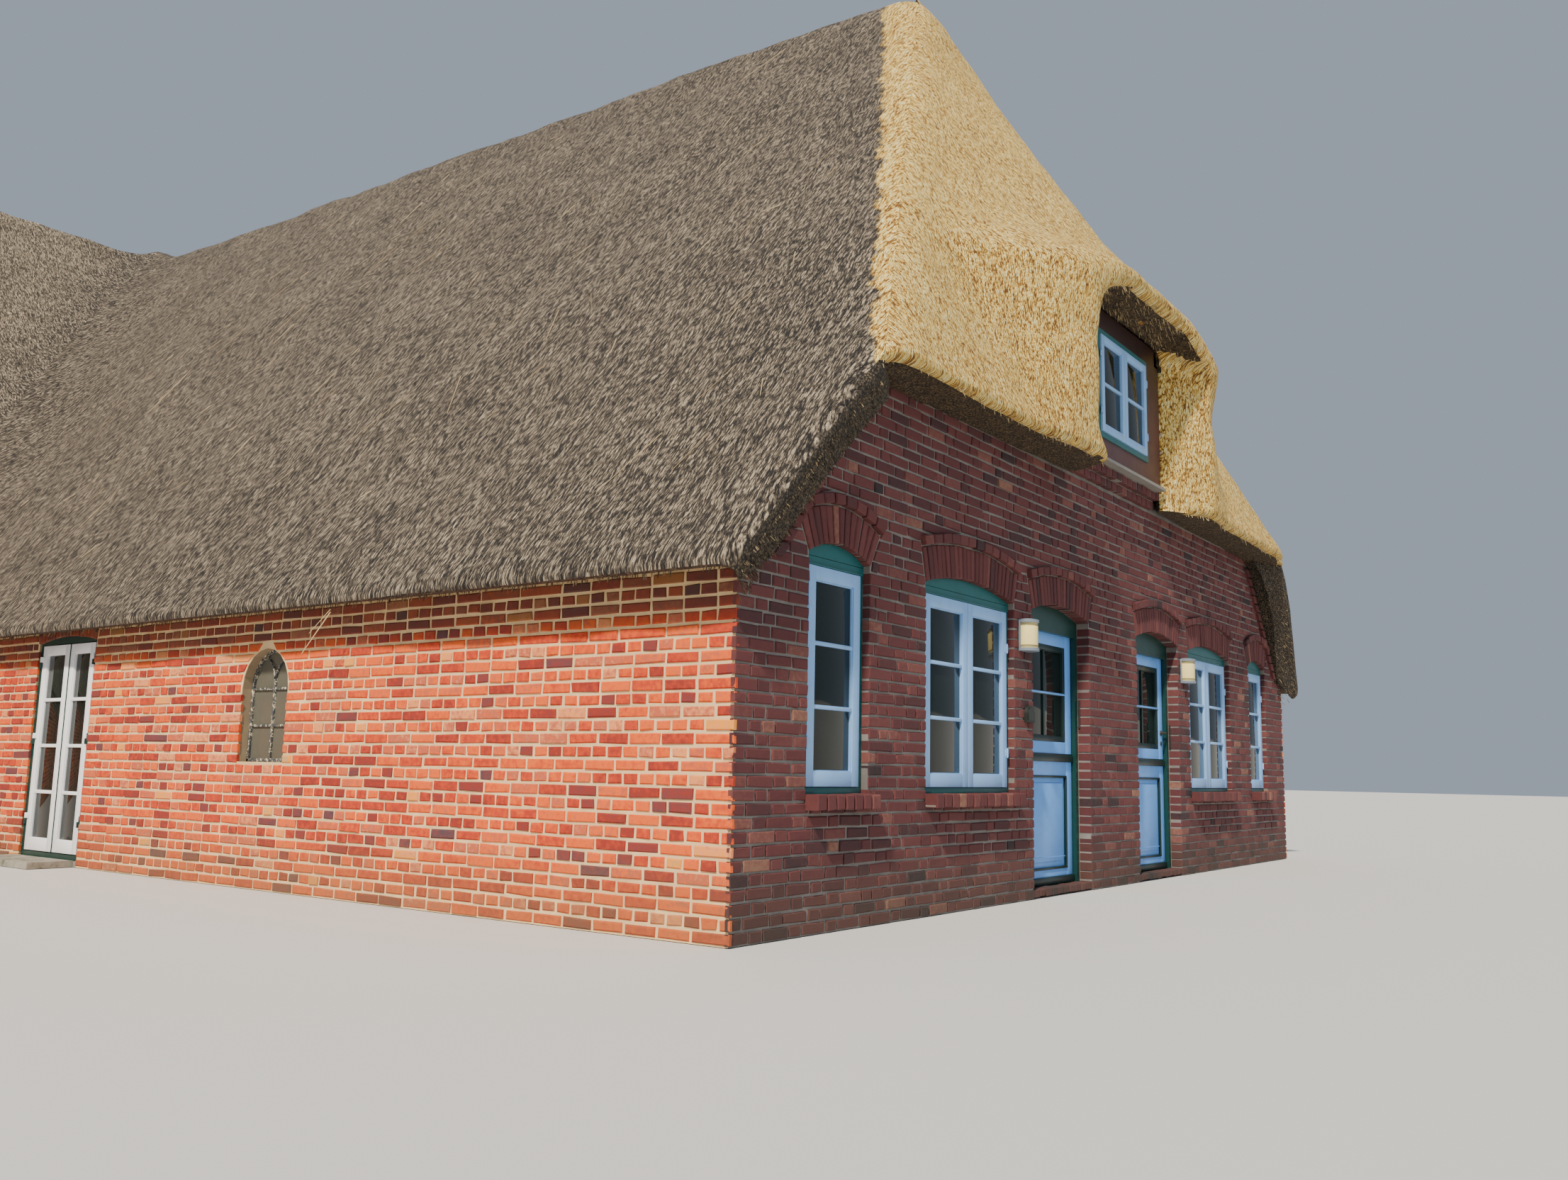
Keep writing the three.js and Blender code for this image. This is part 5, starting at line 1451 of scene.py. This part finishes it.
door_green = paint_finish("door_green_paint", (0.005, 0.043, 0.036), (0.005, 0.025, 0.022), 0.36)


def hang_leaf(wood, edge, heights, out, way, flap_depth):
    """The leaf's half of its lift-off hinges: a barrel on the axis, and a flap."""
    for height in heights:
        low = height + BARREL_LENGTH + 0.001
        wood.post(edge, (low, low + BARREL_LENGTH), out, BARREL)
        flap = sorted((edge, edge + way * 0.034))
        wood.block(flap, (low, low + BARREL_LENGTH), flap_depth, 0.001)


for name, side in SIDES.items():
    middle = side * DOOR_X
    leaf, green, glass, iron = benches(4)
    width = about(middle, DOOR_HALF)
    inner = widen(width, -DOOR_STILE)
    for stile in strips(width, DOOR_STILE):
        leaf.block(stile, (DOOR_LOW, DOOR_HIGH), (DOOR_BACK, DOOR_OUT))
    for rail in ((DOOR_LOW, DOOR_PANEL[0]), (DOOR_PANEL[1], DOOR_LIGHT[0]), (DOOR_LIGHT[1], DOOR_HIGH)):
        leaf.block(widen(inner, 0.001), rail, (DOOR_BACK, DOOR_OUT - 0.0008))
    leaf.block(inner, DOOR_PANEL, (DOOR_BACK + 0.010, DOOR_OUT - 0.016), 0.002)
    raised = (DOOR_BACK + 0.012, DOOR_OUT - 0.004)
    leaf.block(widen(inner, -0.055), widen(DOOR_PANEL, -0.055), raised, 0.012)
    edge = middle - side * (DOOR_HALF + 0.004)
    hang_leaf(leaf, edge, DOOR_HINGES, DOOR_HINGE_OUT, side, (DOOR_HINGE_OUT, DOOR_BACK + 0.001))
    for u in strips(inner, MOULDING):
        green.block(u, DOOR_PANEL, (DOOR_OUT - 0.017, DOOR_OUT + 0.007), 0.006)
    for v in strips(DOOR_PANEL, MOULDING):
        green.block(inner, v, (DOOR_OUT - 0.017, DOOR_OUT + 0.007), 0.006)
    sash(green, glass, inner, DOOR_LIGHT, DOOR_OUT - 0.004, 0.036, 0.042, 0.042, 0.042, 2, 2, 0.030)
    leaf.block(inner, about(LIGHT_MIDDLE, 0.008), (DOOR_OUT - 0.020, DOOR_OUT + 0.001), 0.003)
    # The weather bar with the bead on top of it, and the bar at the foot.
    for inset, v, proud, ease in (
        (0.004, (0.985, 1.040), 0.020, 0.008), (0.006, (1.036, 1.050), 0.010, 0.004),
        (0.004, (DOOR_LOW + 0.002, DOOR_LOW + 0.062), 0.022, 0.009),
    ):
        green.block(widen(width, -inset), v, (DOOR_OUT - 0.004, DOOR_OUT + proud), ease)
    ledge = (DOOR_PANEL[0] + 0.088, DOOR_PANEL[0] + 0.094)
    leaf.block(widen(inner, -0.03), ledge, (DOOR_OUT - 0.010, DOOR_OUT - 0.0015), 0.001)
    lock = middle + side * (DOOR_HALF - DOOR_STILE / 2)
    tip = lock - side * 0.105
    at = np.array((0, HANDLE_Z, DOOR_OUT))
    # The handle's rose and neck, its lever and the knob at the tip, and the rose of the lock.
    for start, end, radius in (
        ((lock, 0, -0.002), (lock, 0, 0.008), 0.024), ((lock, 0, 0), (lock, 0, 0.052), 0.009),
        ((lock + side * 0.009, 0, 0.050), (tip, 0.003, 0.052), 0.0085),
        ((tip, 0.003, 0.052), (tip - side * 0.012, 0.003, 0.052), 0.011),
        ((lock, -0.095, -0.002), (lock, -0.095, 0.006), 0.020),
    ):
        iron.rod(at + start, at + end, radius)
    keyhole = (HANDLE_Z - 0.110, HANDLE_Z - 0.086)
    iron.block(about(lock, 0.004), keyhole, (DOOR_OUT + 0.004, DOOR_OUT + 0.0075), 0.001)
    body = f"door_{name}"
    leaf.build(f"door_{name}_leaf_wood", "white_paint", blue_paint, f"door_leaf_{name}", body)
    green.build(f"door_{name}_green_sash", "green_paint", deep_green_paint, body=body)
    glass.build(f"door_{name}_panes", "glass", old_glass, body=body)
    iron.build(f"door_{name}_handle", "handle", handle_iron, f"door_handle_{name}", body)
    coat(door_green, f"door_frame_{name}")

# Ironwork and lamps beside the doors: half-round lamps with a cream shade between grey-blue
# caps, a plain arched plate with nothing on it, and a black hook on the jamb of each door.
LAMP_X = 1.735
LAMP = (1.765, 1.995)
LAMP_CAP, LAMP_RADIUS, SHADE_RADIUS = 0.024, 0.088, 0.078
PLATE_X, PLATE_SPRING = -1.676, 1.310
HOOK_OUT = -0.082
cap_paint = paint_finish("lamp_cap_paint", (0.20, 0.24, 0.29), (0.10, 0.11, 0.12), 0.45)
black_iron = paint_finish("black_iron", (0.018, 0.018, 0.020), (0.06, 0.045, 0.035), 0.5)
plate_glaze = paint_finish("plate_glaze", (0.013, 0.018, 0.014), (0.07, 0.05, 0.04), 0.5)
# Cream opal glass with a soft sheen.
opal = Finish("lamp_shade")
cloud = opal.grain(0.05, 3, 0.5)
cream = opal.mix(cloud * 0.5, (1.0, 0.86, 0.36), (0.88, 0.68, 0.25))
lamp_shade = opal.made(cream, cloud * 0.1 + 0.25)


def round_head(middle, spring, across, up, steps):
    """Points of a half circle or half ellipse from right to left."""
    turns = np.linspace(0, math.pi, steps + 1)
    return [(middle + across * math.cos(turn), spring + up * math.sin(turn)) for turn in turns]


for name, side in SIDES.items():
    x = side * LAMP_X
    shade, caps, rings = benches(3)
    caps.block(about(x, LAMP_RADIUS), widen(LAMP, -0.004), (0.004, 0.022), 0.008)
    shade.post(x, widen(LAMP, -0.02), 0.036, SHADE_RADIUS)
    for cap in strips(LAMP, LAMP_CAP):
        caps.post(x, cap, 0.034, LAMP_RADIUS)
    caps.post(x, (LAMP[1] - 0.004, LAMP[1] + 0.006), 0.034, 0.060)
    # Two wires round the shade beside each cap.
    for height in (LAMP[0] + 0.034, LAMP[0] + 0.042, LAMP[1] - 0.042, LAMP[1] - 0.034):
        rings.post(x, about(height, 0.002), 0.036, SHADE_RADIUS + 0.0015)
    shade.build(f"lamp_{name}_shade", "lamp", lamp_shade, f"wall_lamp_{name}")
    caps.build(f"lamp_{name}_caps", "iron", cap_paint)
    rings.build(f"lamp_{name}_rings", "iron", black_iron)
plate, hooks = benches(2)
for half, foot, depth in ((0.064, 1.256, (0.006, 0.034)), (0.050, 1.268, (0.030, 0.040))):
    left, right = about(PLATE_X, half)
    arc = round_head(PLATE_X, PLATE_SPRING, half, half * 1.1, 16)
    plate.board([(left, foot), (right, foot), *arc], depth)
plate.build("bare_plate", "iron", plate_glaze)
for edge, middle in ((-0.5225, 1.37), (1.5875, 1.26)):
    hooks.post(edge - 0.012, about(middle, 0.11), HOOK_OUT, 0.008)
    for height in about(middle, 0.10):
        hooks.rod((edge + 0.006, height, HOOK_OUT), (edge - 0.016, height, HOOK_OUT), 0.007)
hooks.build("jamb_hooks", "iron", black_iron)

# Garden door: two white leaves of four panes each, hung outside in a green frame over a
# mossy stone step, each on three lift-off hinges.
GARDEN_FACE = 0.045
GARDEN_OUT = -0.015
GARDEN_LEAF = (0.095, 1.815)
GARDEN_MEETING_Y = 7.13
GARDEN_HINGES = (0.31, 0.98, 1.63)
GARDEN_HINGE_OUT = -0.005
warm_white = paint_finish("warm_white_paint", (0.90, 0.92, 0.94), (0.60, 0.59, 0.56))
for name, way, meeting, jamb in (
    ("front", 1, -GARDEN_MEETING_Y + 0.005, -GARDEN_Y[0] - GARDEN_FACE),
    ("rear", -1, -GARDEN_MEETING_Y - 0.005, -GARDEN_Y[1] + GARDEN_FACE),
):
    wood, glass, bead = benches(3, (-MAIN_HALF, FRONT, 0), (-1, 0, 0))
    u = sorted((meeting, jamb - way * 0.008))
    sash(wood, glass, u, GARDEN_LEAF, GARDEN_OUT, 0.045, 0.078, 0.078, 0.10, up=4, bar=0.028)
    flap_depth = (GARDEN_OUT - 0.002, GARDEN_HINGE_OUT)
    hang_leaf(wood, jamb - way * 0.004, GARDEN_HINGES, GARDEN_HINGE_OUT, -way, flap_depth)
    body = f"garden_leaf_{name}"
    if name == "front":
        depth = (GARDEN_OUT - 0.004, GARDEN_OUT + 0.005)
        bead.block((meeting, meeting + 0.013), GARDEN_LEAF, depth, 0.003)
        bead.build("garden_meeting_bead", "green_paint", door_green, body=body)
    wood.build(f"garden_{name}_leaf_wood", "white_paint", warm_white, f"garden_door_leaf_{name}", body)
    glass.build(f"garden_{name}_panes", "glass", old_glass, body=body)
coat(door_green, "garden_door_frame")


def stone_finish(name, dark, pale, moss):
    """Rough stone or concrete, with moss where it is damp."""
    finish = Finish(name)
    cloud = finish.grain(0.10, 5, 0.65)
    pits = finish.grain(0.006, 3, 0.7)
    colour = finish.colours(cloud * 0.7 + pits * 0.3, [(0.3, dark), (0.7, pale)])
    mossy = finish.grain(0.16, 5, 0.7).between(0.5, 0.66)
    colour = finish.mix(mossy * moss, colour, (0.055, 0.075, 0.020))
    return finish.made(colour, 0.9, pits * 0.5 + cloud * 0.5, 0.006, 0.8)


coat(stone_finish("mossy_stone", (0.20, 0.18, 0.14), (0.42, 0.39, 0.32), 0.7), "stone_step")

# Iron window: a cast frame with a ring and bars two panes wide, whose mullion forks under
# the round head. Its white paint has mostly flaked off.
IRON_OUT = -0.07
IRON_DEPTH = 0.040
RUST = (0.19, 0.12, 0.07)
flaked_iron = paint_finish("flaked_iron", (0.060, 0.066, 0.072), RUST, 0.6, (0.465, (0.72, 0.64, 0.44)))
for name, side in SIDES.items():
    iron, glass = benches(2, (side * MAIN_HALF, FRONT, 0), (side, 0, 0))
    middle = side * (IRON_Y[0] + IRON_Y[1]) / 2
    half = IRON_RADIUS - 0.001
    spring = IRON_TOP - IRON_RADIUS
    front, back = IRON_OUT - 0.001, IRON_OUT - IRON_DEPTH + 0.006
    rim, inner, sight = (
        round_head(middle, spring, half - inset, half - inset, 20) for inset in (0, 0.024, 0.01)
    )
    iron.strip(inner, rim, (back, front))
    for part in strips(about(middle, half), 0.024):
        iron.block(part, (IRON_SILL, spring + 0.002), (back, front), 0.002)
    iron.block(about(middle, half), (IRON_SILL, IRON_SILL + 0.026), (back, front), 0.002)
    for height in (1.121, spring):
        iron.block(about(middle, half), about(height, 0.008), (back + 0.004, front - 0.003), 0.002)
    bar = (back + 0.005, front - 0.002)
    iron.block(about(middle, 0.009), (IRON_SILL, spring + 0.075), bar, 0.002)
    for way in (-1, 1):
        fork = [(way * 0.13 * t ** 1.6, 0.07 + 0.19 * t - 0.02 * t * t) for t in np.linspace(0, 1, 7)]
        sides = [[(middle + u + shift, spring + v) for u, v in fork] for shift in (-0.008, 0.008)]
        iron.strip(*sides, bar)
    foot = [(along, IRON_SILL + 0.01) for along in about(middle, half - 0.01)]
    # One pane lies behind the bars.
    glass.board([*foot, *sight], (back + 0.010, back + 0.016))
    iron.build(f"iron_window_{name}_bars", "iron", flaked_iron, "iron_window" if side < 0 else None)
    glass.build(f"iron_window_{name}_panes", "glass", dusty_glass)

# Low windows behind: green frames with two white casements, set back in the wall. The one
# sheet of glass behind each wall is left out, because every window has its own panes.
LOW_OUT = -0.10
LOW_GLASS = ("right_wall_glass", "back_wall_glass", "wing_end_glass_left", "wing_end_glass_right")
for (name, (origin, out, _)), sheet in zip(LOW_WALLS.items(), LOW_GLASS):
    frame_wood, wood, glass = benches(3, origin, out)
    for item in low_windows[name]:
        span = widen((item.left, item.right), -0.001)
        depth = (LOW_OUT - 0.09, LOW_OUT)
        head = LOW_HEAD - LOW_RISE - 0.045
        for post in strips(span, 0.05):
            frame_wood.block(post, (LOW_SILL, item.spring), depth)
        frame_wood.block(span, (LOW_SILL, LOW_SILL + 0.05), (depth[0], depth[1] + 0.01))
        frame_wood.board([(span[0], head), (span[1], head), *inset_arc(item, 0.001)], depth)
        low, high = widen(span, -0.045)
        for u in ((low, item.middle), (item.middle, high)):
            light = (LOW_SILL + 0.05, head)
            sash(wood, glass, widen(u, -0.002), light, LOW_OUT + 0.012, 0.045, 0.06, 0.06, 0.07, up=2)
    frame_wood.build(f"low_frames_{name}", "green_paint", green_paint)
    wood.build(f"low_sashes_{name}", "white_paint", warm_white)
    glass.build(f"low_panes_{name}", "glass", old_glass, sheet)

# Dormer: oxblood boards under the hood on a grey sill board, with a green frame and two
# white casements, each two panes high, that hang on outside hinges.
DORMER_OUT = 0.150
wood, glass = benches(2)
low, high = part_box("dormer_casement")
left, right = low.x + 0.001, high.x - 0.001
for u in ((left, 0.0), (0.0, right)):
    light = (low.z + 0.001, high.z - 0.001)
    sash(wood, glass, widen(u, -0.002), light, DORMER_OUT - 0.001, 0.048, 0.062, 0.062, 0.066, up=2)
for edge, way in ((left, -1), (right, 1)):
    for height in (low.z + 0.17, high.z - 0.17):
        small_hinge(wood, edge, height, DORMER_OUT - 0.002, way)
wood.build("dormer_sashes", "white_paint", white_paint, "dormer_casement")
glass.build("dormer_panes", "glass", old_glass)
# The oxblood boards darken up under the hood with painted shade.
DORMER_GRIME_AND_SHADE = (0.014, 0.007, 0.007)
oxblood = paint_finish("oxblood_boards", (0.085, 0.022, 0.020), DORMER_GRIME_AND_SHADE, 0.34, painted_shade_heights=(3.90, 4.65))
coat(green_paint, "dormer_frame")
coat(oxblood, "dormer_wall")
coat(paint_finish("grey_sill_board", (0.24, 0.23, 0.21), (0.12, 0.12, 0.11), 0.6), "dormer_sill")

# Floors, seen through nothing but the open doors: a stone slab below, and above it planed
# boards with gaps between them.
BOARD_WIDTH = 0.15
BOARD_TONES = [(0.3, (0.16, 0.105, 0.060)), (0.7, (0.34, 0.24, 0.145))]
coat(stone_finish("floor_slab", (0.16, 0.145, 0.12), (0.30, 0.28, 0.24), 0.0), "ground_floor")
boards = Finish("attic_boards")
across = (boards.axes()["X"] * (1 / BOARD_WIDTH)).math("FRACT")
gap = across.between(0.0, 0.04) * (1 - across.between(0.96, 1.0))
grain = boards.grain(0.02, 4, 0.6, boards.place((1.0, 0.06, 1.0)))
colour = boards.mix(gap, (0.03, 0.02, 0.014), boards.colours(grain, BOARD_TONES))
coat(boards.made(colour, 0.75, grain * 0.2 + gap, 0.003, 0.7), "attic_floor")
